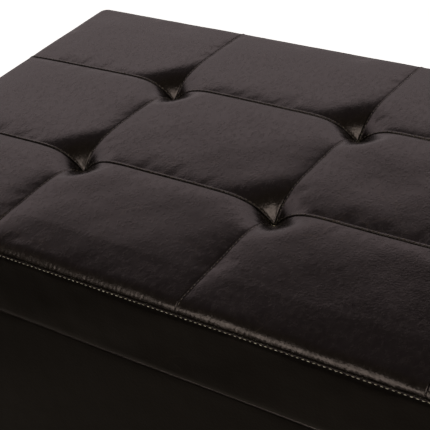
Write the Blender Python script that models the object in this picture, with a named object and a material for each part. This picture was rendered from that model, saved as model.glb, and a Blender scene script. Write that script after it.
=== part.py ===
"""Storage ottoman with a hinged, tufted lid, modelled from its separate pieces.

Frame: metres, +Z up, the front faces -Y, and the origin is on the floor under the
middle of the bounding box. The lid turns on two butt hinges at the back, and a slotted
stay on each side stops it.
"""
import math
from itertools import accumulate

import bmesh
import bpy
from mathutils import Matrix, Vector

# ---- Driving dimensions -------------------------------------------------------------
COLUMN_WIDTHS = (0.2215, 0.2335, 0.2335, 0.2215)   # top panels from left to right
ROW_DEPTHS = (0.1605, 0.1605, 0.152)               # top panels from front to back
LID_BOTTOM_Z = 0.357
BAND_HEIGHT = 0.0755         # lid's side band, from its underside to the border seam
LID_OPEN_DEG = 85.0

GAP = 0.0003                 # between pieces that touch
SKIN = 0.0012                # leather and lining turned over an edge
COVER = 0.003                # base cover with its bonded felt
BAND = 0.002                 # lid band
PANEL = 0.0015               # top panel's leather
BOARD = 0.012
OVERHANG = 0.005             # lid past the base at the front and the sides
FLAP = 0.015                 # width that a cover turns over an edge
LINING = 0.001
LID_BOARD_CUT = 0.009        # taken off each corner, so that the leather rounds it

FOOT_HEIGHT = 0.030
FOOT_TOP = 0.044
FOOT_TAPER = 0.80
STEM_R = 0.004
STEM_TOP_Z = 0.072
STEM_HOLE_R = 0.0043
STEM_HOLE_LOW_Z = 0.020      # the drill starts below the boards
STEM_HOLE_TOP_Z = 0.078
POST = 0.022                 # side of a square corner post

RISE = 0.008                 # lid's crest over its border seam
ROLL = 0.018                 # how far in from the edge the crest is reached
CROWN = 0.0045               # a panel's middle over its seams
TUFT_DEPTH = 0.023
TUFT_REACH = 0.032
TUFT_POWER = 1.4             # how sharply the dip falls off round a tuft
FOAM_GAP = 0.0005            # between a panel and the foam
TWINE_R = 0.0012
TWINE_HOLE_R = 0.0016
WASHER_R = 0.008
WASHER = 0.0017
RECESS_R = 0.009
RECESS = 0.0025

LEAF = 0.0012                # hinge leaf's thickness
LEAF_PLAY = 0.0006           # between the closed leaves
KNUCKLE_R = 0.003
PIN_R = 0.00135
PIN_HOLE_R = 0.00165
PIN_HEAD_R = 0.0024
PIN_HEAD = 0.0012
PIN_CROWN = 0.6              # the flat top of a pin's head, over its full radius
HINGE_LENGTH = 0.080
HINGE_X = 0.270
KNUCKLES = 5
KNUCKLE_PLAY = 0.0003
KNUCKLE_CLEAR = 0.0004       # round a knuckle of the other leaf
TAB_CLEAR = 0.0006           # between a leaf's tab and the knuckles
CURL_STEPS = 14
LEAF_REACH = 0.012           # a leaf's width over the rim

STAY_RADIUS = 0.150          # from the hinge axis to the stay's pivot and to its stud
PIVOT_DROP_DEG = 5.0         # pivot below the horizontal through the axis, lid closed
STUD_DROP_DEG = 35.0
ARM = 0.0025
ARM_HALF = 0.008
PIVOT_R = 0.0025
PIVOT_HOLE_R = 0.0028
SHOULDER_R = 0.003
SLOT_HALF = 0.0033
COLLAR = 0.005
COLLAR_R = 0.006
STUD_HEAD = 0.0028
STUD_HEAD_R = 0.0065
STUD_RIM = 0.6               # where a stud's head starts to round, over its height
STUD_CROWN = 0.7
SHANK_R = 0.0025
SHANK_HOLE_R = 0.0028
SHANK_LENGTH = 0.010
BRACKET = 0.002
BRACKET_HALF = 0.009
BRACKET_LEG = 0.011
RIVET_R = 0.0045
RIVET = 0.0015
RIVET_CROWN = 0.8

BUMPER_R = 0.005
BUMPER_X = 0.400

# ---- Places worked out from them ----------------------------------------------------
LID_WIDTH = sum(COLUMN_WIDTHS)
LID_DEPTH = sum(ROW_DEPTHS)
JOINT_GAP = 2 * LEAF + LEAF_PLAY + 2 * GAP
RIM_Z = LID_BOTTOM_Z - JOINT_GAP
AXIS_OFFSET = KNUCKLE_R + 0.0005
HINGE_PROUD = AXIS_OFFSET + KNUCKLE_R
FRONT_Y = -(LID_DEPTH + HINGE_PROUD) / 2
BACK_Y = FRONT_Y + LID_DEPTH
AXIS_Y = BACK_Y + AXIS_OFFSET
AXIS_Z = RIM_Z + JOINT_GAP / 2
SEAM_Z = LID_BOTTOM_Z + BAND_HEIGHT
HALF_WIDTH = LID_WIDTH / 2
COLUMN_LINES = list(accumulate(COLUMN_WIDTHS, initial=-HALF_WIDTH))
ROW_LINES = list(accumulate(ROW_DEPTHS, initial=FRONT_Y))
BOARD_INSET = COVER + GAP
LINING_INSET = BOARD_INSET + BOARD + GAP
BASE_FLOOR_Z = FOOT_HEIGHT + GAP
BOTTOM_BOARD_Z = BASE_FLOOR_Z + SKIN + GAP
WALL_Z = BOTTOM_BOARD_Z + BOARD + GAP
WALL_TOP_Z = RIM_Z - SKIN - GAP
LID_BOARD_Z = LID_BOTTOM_Z + SKIN + GAP
FOAM_Z = LID_BOARD_Z + BOARD + GAP
POST_TOP_Z = RIM_Z - 0.004

# Rectangles seen from above: x0, x1, y0, y1
LID_RECT = (-HALF_WIDTH, HALF_WIDTH, FRONT_Y, BACK_Y)
BASE_RECT = (-HALF_WIDTH + OVERHANG, HALF_WIDTH - OVERHANG, FRONT_Y + OVERHANG, BACK_Y)


# ---- Materials ----------------------------------------------------------------------
def material(name, colour, roughness, metallic=0.0):
    made = bpy.data.materials.new(name)
    made.use_nodes = True
    shader = made.node_tree.nodes["Principled BSDF"]
    shader.inputs["Base Color"].default_value = (*colour, 1.0)
    shader.inputs["Roughness"].default_value = roughness
    shader.inputs["Metallic"].default_value = metallic
    made.diffuse_color = (*colour, 1.0)
    return made


COLOURS = {
    "leather": ((0.030, 0.021, 0.016), 0.42, 0.0),
    "board": ((0.46, 0.33, 0.20), 0.75, 0.0),
    "post": ((0.62, 0.47, 0.30), 0.70, 0.0),
    "foam": ((0.83, 0.79, 0.62), 0.95, 0.0),
    "lining": ((0.022, 0.021, 0.021), 0.90, 0.0),
    "foot": ((0.040, 0.024, 0.016), 0.40, 0.0),
    "zinc_steel": ((0.56, 0.57, 0.58), 0.35, 1.0),
    "twine": ((0.55, 0.50, 0.40), 0.80, 0.0),
    "rubber": ((0.020, 0.020, 0.021), 0.75, 0.0),
}


# ---- Mesh helpers -------------------------------------------------------------------
def rings_to_solid(mesh, rings):
    """Join equal rings of points in order and cap both ends."""
    rows = [[mesh.verts.new(point) for point in ring] for ring in rings]
    for lower, upper in zip(rows, rows[1:]):
        for i in range(len(lower)):
            j = (i + 1) % len(lower)
            mesh.faces.new((lower[i], lower[j], upper[j], upper[i]))
    mesh.faces.new(rows[0][::-1])
    mesh.faces.new(rows[-1])


def add_box(mesh, low, high):
    x0, y0, z0 = low
    x1, y1, z1 = high
    ring = [(x0, y0), (x1, y0), (x1, y1), (x0, y1)]
    rings_to_solid(mesh, [[(x, y, z) for x, y in ring] for z in (z0, z1)])


def add_prism(mesh, outline, z0, z1):
    rings_to_solid(mesh, [[(x, y, z) for x, y in outline] for z in (z0, z1)])


def add_turned(mesh, centre, axis, profile, sides):
    """Turn (radius, distance along axis) pairs about a line through centre."""
    along = Vector(axis)
    across = Vector((0, 0, 1)) if abs(along.z) < 0.5 else Vector((1, 0, 0))
    third = along.cross(across)
    rings = []
    for radius, distance in profile:
        ring = []
        for k in range(sides):
            angle = 2 * math.pi * k / sides
            spoke = math.cos(angle) * across + math.sin(angle) * third
            ring.append(Vector(centre) + along * distance + spoke * radius)
        rings.append(ring)
    rings_to_solid(mesh, rings)


def mesh_from(name, *fillers):
    """Build a mesh from functions that each add a closed solid to it."""
    mesh = bmesh.new()
    for fill in fillers:
        fill(mesh)
    bmesh.ops.recalc_face_normals(mesh, faces=mesh.faces)
    data = bpy.data.meshes.new(name)
    mesh.to_mesh(data)
    mesh.free()
    return data


def add_object(name, data, look, parent=None, location=(0, 0, 0)):
    if not data.materials:
        data.materials.append(MATERIALS[look])
    made = bpy.data.objects.new(name, data)
    made.location = location
    bpy.context.scene.collection.objects.link(made)
    if parent:
        made.parent = parent
        made.matrix_parent_inverse = parent_inverse(parent)
    return made


def parent_inverse(parent):
    """Keep a child where its own location says, whatever its parent's place."""
    place = Vector((0, 0, 0))
    while parent:
        place += parent.location
        parent = parent.parent
    return Matrix.Translation(-place)


def add_piece(name, look, *fillers, parent=None):
    return add_object(name, mesh_from(name, *fillers), look, parent)


def round_off(piece, angle_deg=30):
    """Shade the turned faces smooth and keep the real edges sharp."""
    piece.data.shade_smooth()
    piece.data.set_sharp_from_angle(angle=math.radians(angle_deg))


def add_tool(name, *fillers):
    """A hidden solid that a Boolean cuts with or joins on."""
    tool = bpy.data.objects.new(name, mesh_from(name, *fillers))
    bpy.context.scene.collection.objects.link(tool)
    tool.hide_render = True
    tool.display_type = "WIRE"
    return tool


def combine(piece, tool, operation):
    step = piece.modifiers.new(operation.lower(), "BOOLEAN")
    step.operation = operation
    step.solver = "EXACT"
    step.object = tool


def box(low, high):
    return lambda mesh: add_box(mesh, low, high)


def turned(centre, axis, profile, sides=12):
    return lambda mesh: add_turned(mesh, centre, axis, profile, sides)


def prism(outline, z0, z1):
    return lambda mesh: add_prism(mesh, outline, z0, z1)


def arc(centre, radius, start_deg, end_deg, steps):
    points = []
    for k in range(steps + 1):
        angle = math.radians(start_deg + (end_deg - start_deg) * k / steps)
        points.append((centre[0] + radius * math.cos(angle), centre[1] + radius * math.sin(angle)))
    return points


def inset(rect, amount):
    x0, x1, y0, y1 = rect
    return (x0 + amount, x1 - amount, y0 + amount, y1 - amount)


def slab(rect, z0, z1):
    x0, x1, y0, y1 = rect
    return box((x0, y0, z0), (x1, y1, z1))


def cut_corners(rect, cut):
    """The outline of a rectangle with its four corners cut off at 45 degrees."""
    x0, x1, y0, y1 = rect
    return [
        (x0 + cut, y0), (x1 - cut, y0), (x1, y0 + cut), (x1, y1 - cut),
        (x1 - cut, y1), (x0 + cut, y1), (x0, y1 - cut), (x0, y0 + cut),
    ]


def corners(rect):
    x0, x1, y0, y1 = rect
    return {"front_left": (x0, y0), "front_right": (x1, y0), "back_left": (x0, y1), "back_right": (x1, y1)}


# ---- Covers that wrap one side and turn over its edges ------------------------------
def side_frame(rect, side):
    """Middle of one side's outer face, the way along it, the way in, and half its length."""
    x0, x1, y0, y1 = rect
    middle_x, middle_y = (x0 + x1) / 2, (y0 + y1) / 2
    half_x, half_y = (x1 - x0) / 2, (y1 - y0) / 2
    frames = {
        "front": ((middle_x, y0), (1, 0), (0, 1), half_x),
        "back": ((middle_x, y1), (-1, 0), (0, -1), half_x),
        "left": ((x0, middle_y), (0, -1), (1, 0), half_y),
        "right": ((x1, middle_y), (0, 1), (-1, 0), half_y),
    }
    return frames[side]


def mitred_strip(rect, side, profile):
    """Run a (distance in, height) profile along one side, mitred at both corners."""
    middle, along, inward, half = side_frame(rect, side)

    def fill(mesh):
        rings = []
        for end in (-1, 1):
            ring = []
            for depth, z in profile:
                run = end * (half - depth - GAP / 2)
                x = middle[0] + along[0] * run + inward[0] * depth
                y = middle[1] + along[1] * run + inward[1] * depth
                ring.append((x, y, z))
            rings.append(ring)
        rings_to_solid(mesh, rings)

    return fill


SIDES = ("front", "back", "left", "right")


def build_base_covers():
    z0, z1 = BASE_FLOOR_Z, RIM_Z
    profile = [
        (0, z0), (0, z1), (FLAP, z1), (FLAP, z1 - SKIN),
        (COVER, z1 - SKIN), (COVER, z0 + SKIN), (FLAP, z0 + SKIN), (FLAP, z0),
    ]
    for side in SIDES:
        add_piece(f"base_{side}_cover", "leather", mitred_strip(BASE_RECT, side, profile))


def build_lid_bands(lid):
    z0 = LID_BOTTOM_Z
    z1 = SEAM_Z - PANEL - GAP
    profile = [(0, z0), (0, z1), (BAND, z1), (BAND, z0 + SKIN), (FLAP, z0 + SKIN), (FLAP, z0)]
    for side in SIDES:
        add_piece(f"lid_{side}_band", "leather", mitred_strip(LID_RECT, side, profile), parent=lid)


# ---- Base ---------------------------------------------------------------------------
def notched_outline(rect, notch):
    """A rectangle whose corners step in round square posts."""
    x0, x1, y0, y1 = rect
    return [
        (x0 + notch, y0), (x1 - notch, y0), (x1 - notch, y0 + notch), (x1, y0 + notch),
        (x1, y1 - notch), (x1 - notch, y1 - notch), (x1 - notch, y1), (x0 + notch, y1),
        (x0 + notch, y1 - notch), (x0, y1 - notch), (x0, y0 + notch), (x0 + notch, y0 + notch),
    ]


def post_rect(corner, rect, size):
    """A square set into one corner of a rectangle."""
    x, y = corners(rect)[corner]
    in_x = 1 if "left" in corner else -1
    in_y = 1 if "front" in corner else -1
    xs = sorted((x, x + in_x * size))
    ys = sorted((y, y + in_y * size))
    return (*xs, *ys)


def build_walls():
    x0, x1, y0, y1 = inset(BASE_RECT, BOARD_INSET)
    z0, z1 = WALL_Z, WALL_TOP_Z
    side_y0, side_y1 = y0 + BOARD + GAP, y1 - BOARD - GAP
    add_piece("base_front_board", "board", box((x0, y0, z0), (x1, y0 + BOARD, z1)))
    add_piece("base_back_board", "board", box((x0, y1 - BOARD, z0), (x1, y1, z1)))
    left = add_piece("base_left_board", "board", box((x0, side_y0, z0), (x0 + BOARD, side_y1, z1)))
    right = add_piece("base_right_board", "board", box((x1 - BOARD, side_y0, z0), (x1, side_y1, z1)))
    return {-1: left, 1: right}


def build_floor_and_posts():
    inner = inset(BASE_RECT, LINING_INSET)
    holes = []
    for corner in corners(inner):
        x0, x1, y0, y1 = post_rect(corner, inner, POST)
        centre = ((x0 + x1) / 2, (y0 + y1) / 2, 0)
        holes.append(turned(centre, (0, 0, 1), [(STEM_HOLE_R, STEM_HOLE_LOW_Z), (STEM_HOLE_R, STEM_HOLE_TOP_Z)]))
    drill = add_tool("foot_stem_holes", *holes)

    floor_rect = inset(BASE_RECT, BOARD_INSET)
    floor = slab(floor_rect, BOTTOM_BOARD_Z, BOTTOM_BOARD_Z + BOARD)
    dust = slab(inset(BASE_RECT, FLAP + GAP), BASE_FLOOR_Z, BASE_FLOOR_Z + SKIN)
    drilled = [
        add_piece("base_bottom_board", "board", floor),
        add_piece("dust_cover", "lining", dust),
    ]
    for corner in corners(inner):
        post = slab(post_rect(corner, inset(inner, GAP), POST - GAP), WALL_Z, POST_TOP_Z)
        drilled.append(add_piece(f"corner_post_{corner}", "post", post))
    for piece in drilled:
        combine(piece, drill, "DIFFERENCE")


def build_feet():
    """Each foot is a tapered block with a screwed stem that goes up into its post."""
    half = FOOT_TOP / 2

    def block(mesh):
        rings = []
        for z, size in ((0, half * FOOT_TAPER), (FOOT_HEIGHT, half)):
            rings.append([(-size, -size, z), (size, -size, z), (size, size, z), (-size, size, z)])
        rings_to_solid(mesh, rings)

    stem_profile = [(STEM_R, FOOT_HEIGHT / 2), (STEM_R, STEM_TOP_Z)]
    inner = inset(BASE_RECT, LINING_INSET)
    for corner in corners(inner):
        x0, x1, y0, y1 = post_rect(corner, inner, POST)
        place = ((x0 + x1) / 2, (y0 + y1) / 2, 0)
        stem = add_tool(f"stem_{corner}", turned((0, 0, 0), (0, 0, 1), stem_profile))
        stem.location = place
        foot = add_object(f"foot_{corner}", mesh_from("foot", block), "foot", location=place)
        combine(foot, stem, "UNION")


def build_lining():
    """A fabric box whose corners fold round the posts and over their tops."""
    outer = inset(BASE_RECT, LINING_INSET)
    inner = inset(outer, LINING)
    notch = POST + GAP
    cavity = prism(notched_outline(inner, notch), WALL_Z - LINING, RIM_Z + LINING)
    pockets = []
    for corner in corners(outer):
        pocket = post_rect(corner, inset(outer, -LINING), notch + LINING)
        pockets.append(slab(pocket, WALL_Z - LINING, POST_TOP_Z + GAP))
    walls = add_piece("lining_walls", "lining", slab(outer, WALL_Z, RIM_Z))
    combine(walls, add_tool("lining_cavity", cavity, *pockets), "DIFFERENCE")

    floor = prism(notched_outline(inset(inner, GAP), notch), WALL_Z, WALL_Z + LINING)
    add_piece("lining_floor", "lining", floor)
    return walls


def build_bumpers():
    y = BASE_RECT[2] + FLAP / 2
    profile = [(BUMPER_R, RIM_Z + GAP), (BUMPER_R, LID_BOTTOM_Z - GAP)]
    for name, side in (("left", -1), ("right", 1)):
        disc = turned((side * BUMPER_X, y, 0), (0, 0, 1), profile)
        round_off(add_piece(f"bumper_{name}", "rubber", disc))


# ---- Lid ----------------------------------------------------------------------------
def tuft_points():
    return [(x, y) for y in ROW_LINES[1:-1] for x in COLUMN_LINES[1:-1]]


def panel_wave(value, lines):
    """0 on the seams and 1 in the middle of a panel, as a half sine."""
    for start, end in zip(lines, lines[1:]):
        if value <= end:
            return math.sin(math.pi * max(0.0, value - start) / (end - start))
    return 0.0


def cushion_z(x, y):
    """Height of the lid's upholstered top: rolled edges, crowned panels, deep tufts."""
    edge = min(x + HALF_WIDTH, HALF_WIDTH - x, y - FRONT_Y, BACK_Y - y)
    run = min(1.0, max(0.0, edge / ROLL))
    roll = math.sqrt(max(0.0, 1 - (1 - run) ** 2))
    crown = math.sqrt(abs(panel_wave(x, COLUMN_LINES) * panel_wave(y, ROW_LINES)))
    dip = 0.0
    for tuft_x, tuft_y in tuft_points():
        distance = math.hypot(x - tuft_x, y - tuft_y)
        dip += math.exp(-((distance / TUFT_REACH) ** TUFT_POWER))
    return SEAM_Z + RISE * roll + CROWN * crown - TUFT_DEPTH * dip


PANEL_STEPS = (0.0, 0.04, 0.14, 0.5, 0.86, 0.96, 1.0)   # finer near the seams


def panel_lines(start, end):
    return [start + (end - start) * step for step in PANEL_STEPS]


def sheet_between(xs, ys, top, bottom):
    """A closed grid solid between two height functions of x and y."""
    def fill(mesh):
        layers = []
        for height in (top, bottom):
            layers.append([[mesh.verts.new((x, y, height(x, y))) for x in xs] for y in ys])
        upper, lower = layers
        for j in range(len(ys) - 1):
            for i in range(len(xs) - 1):
                for layer in layers:
                    a, b = layer[j][i], layer[j][i + 1]
                    c, d = layer[j + 1][i + 1], layer[j + 1][i]
                    mesh.faces.new((a, b, c))
                    mesh.faces.new((a, c, d))
        rim = [(0, i) for i in range(len(xs))]
        rim += [(j, len(xs) - 1) for j in range(1, len(ys))]
        rim += [(len(ys) - 1, i) for i in range(len(xs) - 2, -1, -1)]
        rim += [(j, 0) for j in range(len(ys) - 2, 0, -1)]
        for (j0, i0), (j1, i1) in zip(rim, rim[1:] + rim[:1]):
            mesh.faces.new((lower[j0][i0], lower[j1][i1], upper[j1][i1], upper[j0][i0]))

    return fill


def build_top_panels(lid):
    for row, (y0, y1) in enumerate(zip(ROW_LINES, ROW_LINES[1:]), start=1):
        for column, (x0, x1) in enumerate(zip(COLUMN_LINES, COLUMN_LINES[1:]), start=1):
            xs = panel_lines(x0 + GAP / 2, x1 - GAP / 2)
            ys = panel_lines(y0 + GAP / 2, y1 - GAP / 2)
            sheet = sheet_between(xs, ys, cushion_z, lambda x, y: cushion_z(x, y) - PANEL)
            piece = add_piece(f"top_panel_row{row}_col{column}", "leather", sheet, parent=lid)
            round_off(piece, 60)


def foam_lines(seam_lines):
    """The panels' own grid lines, drawn in at both ends to clear the bands."""
    lines = [seam_lines[0] + BAND + GAP]
    for start, end in zip(seam_lines, seam_lines[1:]):
        lines += panel_lines(start, end)[1:]
    lines[-1] = seam_lines[-1] - BAND - GAP
    return lines


def foam_top_z(x, y):
    """Just under the panels, and low enough at the rim to stay under their straight facets."""
    edge = min(x + HALF_WIDTH, HALF_WIDTH - x, y - FRONT_Y, BACK_Y - y)
    if edge < BAND + 2 * GAP:
        return SEAM_Z - PANEL - FOAM_GAP
    return cushion_z(x, y) - PANEL - FOAM_GAP


def build_lid_core(lid):
    core = inset(LID_RECT, BAND + GAP)
    xs = foam_lines(COLUMN_LINES)
    ys = foam_lines(ROW_LINES)
    foam_solid = sheet_between(xs, ys, foam_top_z, lambda x, y: FOAM_Z)
    foam = add_piece("lid_foam", "foam", foam_solid, parent=lid)
    outline = cut_corners(core, LID_BOARD_CUT)
    board_solid = prism(outline, LID_BOARD_Z, LID_BOARD_Z + BOARD)
    board = add_piece("lid_board", "board", board_solid, parent=lid)

    recess_top = LID_BOARD_Z + RECESS
    profile = [
        (RECESS_R, LID_BOARD_Z - SKIN / 2), (RECESS_R, recess_top),
        (TWINE_HOLE_R, recess_top), (TWINE_HOLE_R, SEAM_Z + RISE),
    ]
    holes = [turned((x, y, 0), (0, 0, 1), profile, 8) for x, y in tuft_points()]
    drill = add_tool("tuft_holes", *holes)
    combine(foam, drill, "DIFFERENCE")
    combine(board, drill, "DIFFERENCE")

    lining = slab(inset(LID_RECT, FLAP + GAP), LID_BOTTOM_Z, LID_BOTTOM_Z + SKIN)
    add_piece("lid_lining", "lining", lining, parent=lid)


def build_tuft_ties(lid):
    """Waxed twine, knotted through a washer in a recess under the lid board."""
    washer_z = LID_BOARD_Z + GAP
    for number, (x, y) in enumerate(tuft_points(), start=1):
        top_z = cushion_z(x, y) - PANEL - 2 * FOAM_GAP
        profile = [
            (WASHER_R, washer_z), (WASHER_R, washer_z + WASHER),
            (TWINE_R, washer_z + WASHER), (TWINE_R, top_z),
        ]
        tie = turned((x, y, 0), (0, 0, 1), profile, 8)
        round_off(add_piece(f"tuft_tie_{number}", "twine", tie, parent=lid), 45)


# ---- Hinges -------------------------------------------------------------------------
def knuckle_outline(low, high):
    """A leaf's edge that curls round the pin, seen along the axis: (y, z) from the axis."""
    low_deg = math.degrees(math.atan2(low, -math.sqrt(KNUCKLE_R**2 - low**2))) % 360
    high_deg = math.degrees(math.atan2(high, -math.sqrt(KNUCKLE_R**2 - high**2))) % 360
    tab = -(AXIS_OFFSET + TAB_CLEAR)
    curl = arc((0, 0), KNUCKLE_R, low_deg, high_deg + 360, CURL_STEPS)
    return [(tab, low), *curl, (tab, high)]


def along_x(outline, x0, x1):
    """Run a (y, z) outline, measured from the hinge axis, along X."""
    rings = [[(x, AXIS_Y + y, AXIS_Z + z) for y, z in outline] for x in (x0, x1)]
    return lambda mesh: rings_to_solid(mesh, rings)


def build_leaf(name, x, low, high, turns, parent=None):
    start = x - HINGE_LENGTH / 2
    pitch = HINGE_LENGTH / KNUCKLES
    plate = box(
        (start, BACK_Y - LEAF_REACH, AXIS_Z + low),
        (start + HINGE_LENGTH, AXIS_Y - KNUCKLE_R - KNUCKLE_CLEAR, AXIS_Z + high),
    )
    outline = knuckle_outline(low, high)
    curls = []
    for turn in turns:
        x0 = start + pitch * turn + KNUCKLE_PLAY / 2
        curls.append(along_x(outline, x0, x0 + pitch - KNUCKLE_PLAY))
    leaf = add_piece(name, "zinc_steel", plate, parent=parent)
    combine(leaf, add_tool(f"{name}_knuckles", *curls), "UNION")
    bore = turned((x, AXIS_Y, AXIS_Z), (1, 0, 0), [(PIN_HOLE_R, -HINGE_LENGTH), (PIN_HOLE_R, HINGE_LENGTH)])
    combine(leaf, add_tool(f"{name}_bore", bore), "DIFFERENCE")


def build_hinges(lid):
    low, high = LEAF_PLAY / 2, LEAF_PLAY / 2 + LEAF
    head = HINGE_LENGTH / 2 + GAP
    pin_profile = [
        (PIN_HEAD_R * PIN_CROWN, -head - PIN_HEAD), (PIN_HEAD_R, -head - PIN_HEAD / 2), (PIN_HEAD_R, -head),
        (PIN_R, -head), (PIN_R, head),
        (PIN_HEAD_R, head), (PIN_HEAD_R, head + PIN_HEAD / 2), (PIN_HEAD_R * PIN_CROWN, head + PIN_HEAD),
    ]
    for name, side in (("left", -1), ("right", 1)):
        x = side * HINGE_X
        build_leaf(f"hinge_{name}_base_leaf", x, -high, -low, range(0, KNUCKLES, 2))
        build_leaf(f"hinge_{name}_lid_leaf", x, low, high, range(1, KNUCKLES, 2), parent=lid)
        pin = turned((x, AXIS_Y, AXIS_Z), (1, 0, 0), pin_profile)
        round_off(add_piece(f"hinge_{name}_pin", "zinc_steel", pin))


# ---- Lid stays ----------------------------------------------------------------------
def stay_point(drop_deg):
    """A point at the stay's radius from the hinge axis: (y, z)."""
    drop = math.radians(drop_deg)
    return (AXIS_Y - STAY_RADIUS * math.cos(drop), AXIS_Z - STAY_RADIUS * math.sin(drop))


def stay_reach(lid_deg):
    """Distance from pivot to stud. Both lie on one circle, so it is a chord."""
    turn = math.radians(STUD_DROP_DEG - PIVOT_DROP_DEG + lid_deg)
    return 2 * STAY_RADIUS * math.sin(turn / 2)


def stadium(start, end, half, steps=8):
    """Outline of a strip with round ends, along s, with t across."""
    return arc((end, 0), half, -90, 90, steps) + arc((start, 0), half, 90, 270, steps)


def build_stay(name, side, lid, board, lining):
    pivot, stud = stay_point(PIVOT_DROP_DEG), stay_point(STUD_DROP_DEG)
    wall_x = BASE_RECT[1] - LINING_INSET - LINING
    collar_x = wall_x - GAP
    arm_x = collar_x - COLLAR - GAP
    leg_x = arm_x - ARM - GAP

    collar_end = collar_x - COLLAR
    stud_profile = [
        (SHANK_R, wall_x + SHANK_LENGTH), (SHANK_R, collar_x), (COLLAR_R, collar_x), (COLLAR_R, collar_end),
        (SHOULDER_R, collar_end), (SHOULDER_R, leg_x), (STUD_HEAD_R, leg_x),
        (STUD_HEAD_R, leg_x - STUD_HEAD * STUD_RIM), (STUD_HEAD_R * STUD_CROWN, leg_x - STUD_HEAD),
    ]
    screw = add_piece(f"stay_{name}_stud", "zinc_steel", turned((0, *stud), (side, 0, 0), stud_profile))
    round_off(screw)
    hole_profile = [(SHANK_HOLE_R, collar_x - GAP), (SHANK_HOLE_R, wall_x + SHANK_LENGTH + GAP)]
    hole = add_tool(f"stay_{name}_hole", turned((0, *stud), (side, 0, 0), hole_profile))
    combine(board, hole, "DIFFERENCE")
    combine(lining, hole, "DIFFERENCE")

    build_bracket(name, side, lid, pivot, arm_x, leg_x)
    build_arm(name, side, lid, pivot, stud, arm_x)


def build_bracket(name, side, lid, pivot, arm_x, leg_x):
    top_z = LID_BOTTOM_Z - GAP
    inner_x = leg_x - BRACKET - BRACKET_LEG
    profile = [
        (leg_x, pivot[1] - BRACKET_HALF), (leg_x, top_z), (inner_x, top_z),
        (inner_x, top_z - BRACKET), (leg_x - BRACKET, top_z - BRACKET),
        (leg_x - BRACKET, pivot[1] - BRACKET_HALF),
    ]

    def angle_plate(mesh):
        ends = (pivot[0] - BRACKET_HALF, pivot[0] + BRACKET_HALF)
        rings_to_solid(mesh, [[(side * x, y, z) for x, z in profile] for y in ends])

    bracket = add_piece(f"stay_{name}_bracket", "zinc_steel", angle_plate, parent=lid)
    rivet_x = arm_x + GAP
    rivet_profile = [
        (PIVOT_R, leg_x - BRACKET / 2), (PIVOT_R, rivet_x),
        (RIVET_R, rivet_x), (RIVET_R * RIVET_CROWN, rivet_x + RIVET),
    ]
    rivet = add_tool(f"stay_{name}_rivet", turned((0, *pivot), (side, 0, 0), rivet_profile))
    combine(bracket, rivet, "UNION")


def build_arm(name, side, lid, pivot, stud, arm_x):
    """A flat strip that turns on the bracket, with a long slot that runs on the stud."""
    axle = bpy.data.objects.new(f"stay_{name}_axle", None)
    axle.location = (side * arm_x, *pivot)
    axle.parent = lid
    axle.matrix_parent_inverse = parent_inverse(lid)
    bpy.context.scene.collection.objects.link(axle)

    run = Vector((stud[0] - pivot[0], stud[1] - pivot[1])).normalized()
    across = Vector((-run.y, run.x))

    def strip(outline, outer, inner):
        rings = []
        for x in (outer, inner):
            ring = []
            for s, t in outline:
                spot = Vector(pivot) + run * s + across * t
                ring.append((side * x, spot.x, spot.y))
            rings.append(ring)
        return lambda mesh: rings_to_solid(mesh, rings)

    slot_start, slot_end = stay_reach(0) - GAP, stay_reach(LID_OPEN_DEG)
    plate = strip(stadium(0, slot_end + ARM_HALF / 2, ARM_HALF), arm_x, arm_x - ARM)
    arm = add_object(f"stay_{name}_arm", mesh_from("arm", plate), "zinc_steel")
    arm.parent = axle
    arm.matrix_parent_inverse = Matrix.Translation(-Vector((side * arm_x, *pivot)))
    slot = strip(stadium(slot_start, slot_end, SLOT_HALF), arm_x + ARM, arm_x - 2 * ARM)
    eye = strip(arc((0, 0), PIVOT_HOLE_R, 0, 330, 11), arm_x + ARM, arm_x - 2 * ARM)
    combine(arm, add_tool(f"stay_{name}_slot", slot, eye), "DIFFERENCE")


# ---- Assembly -----------------------------------------------------------------------
for old in list(bpy.data.objects):
    bpy.data.objects.remove(old, do_unlink=True)

MATERIALS = {name: material(name, *look) for name, look in COLOURS.items()}

lid_axis = bpy.data.objects.new("lid_axis", None)
lid_axis.location = (0, AXIS_Y, AXIS_Z)
bpy.context.scene.collection.objects.link(lid_axis)

side_boards = build_walls()
build_floor_and_posts()
build_feet()
build_base_covers()
wall_lining = build_lining()
build_bumpers()

build_lid_core(lid_axis)
build_lid_bands(lid_axis)
build_top_panels(lid_axis)
build_tuft_ties(lid_axis)

build_hinges(lid_axis)
for stay_name, stay_side in (("left", -1), ("right", 1)):
    build_stay(stay_name, stay_side, lid_axis, side_boards[stay_side], wall_lining)
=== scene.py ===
# %% [markdown]
# # A storage ottoman with a tufted leather lid
#
# The real object is a box of fibreboard under bonded leather, with a thick padded lid that
# is hinged at the back. This lesson dresses a finished mechanical model of it: the boards,
# hinges and stays are already solid pieces, and what is made here is everything that is
# sewn, padded, stitched or finished. All lengths are in metres unless a name says otherwise.

# %% Load the fixed frame
import math

import bmesh
import bpy
import numpy as np
from mathutils import Matrix, Vector


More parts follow.
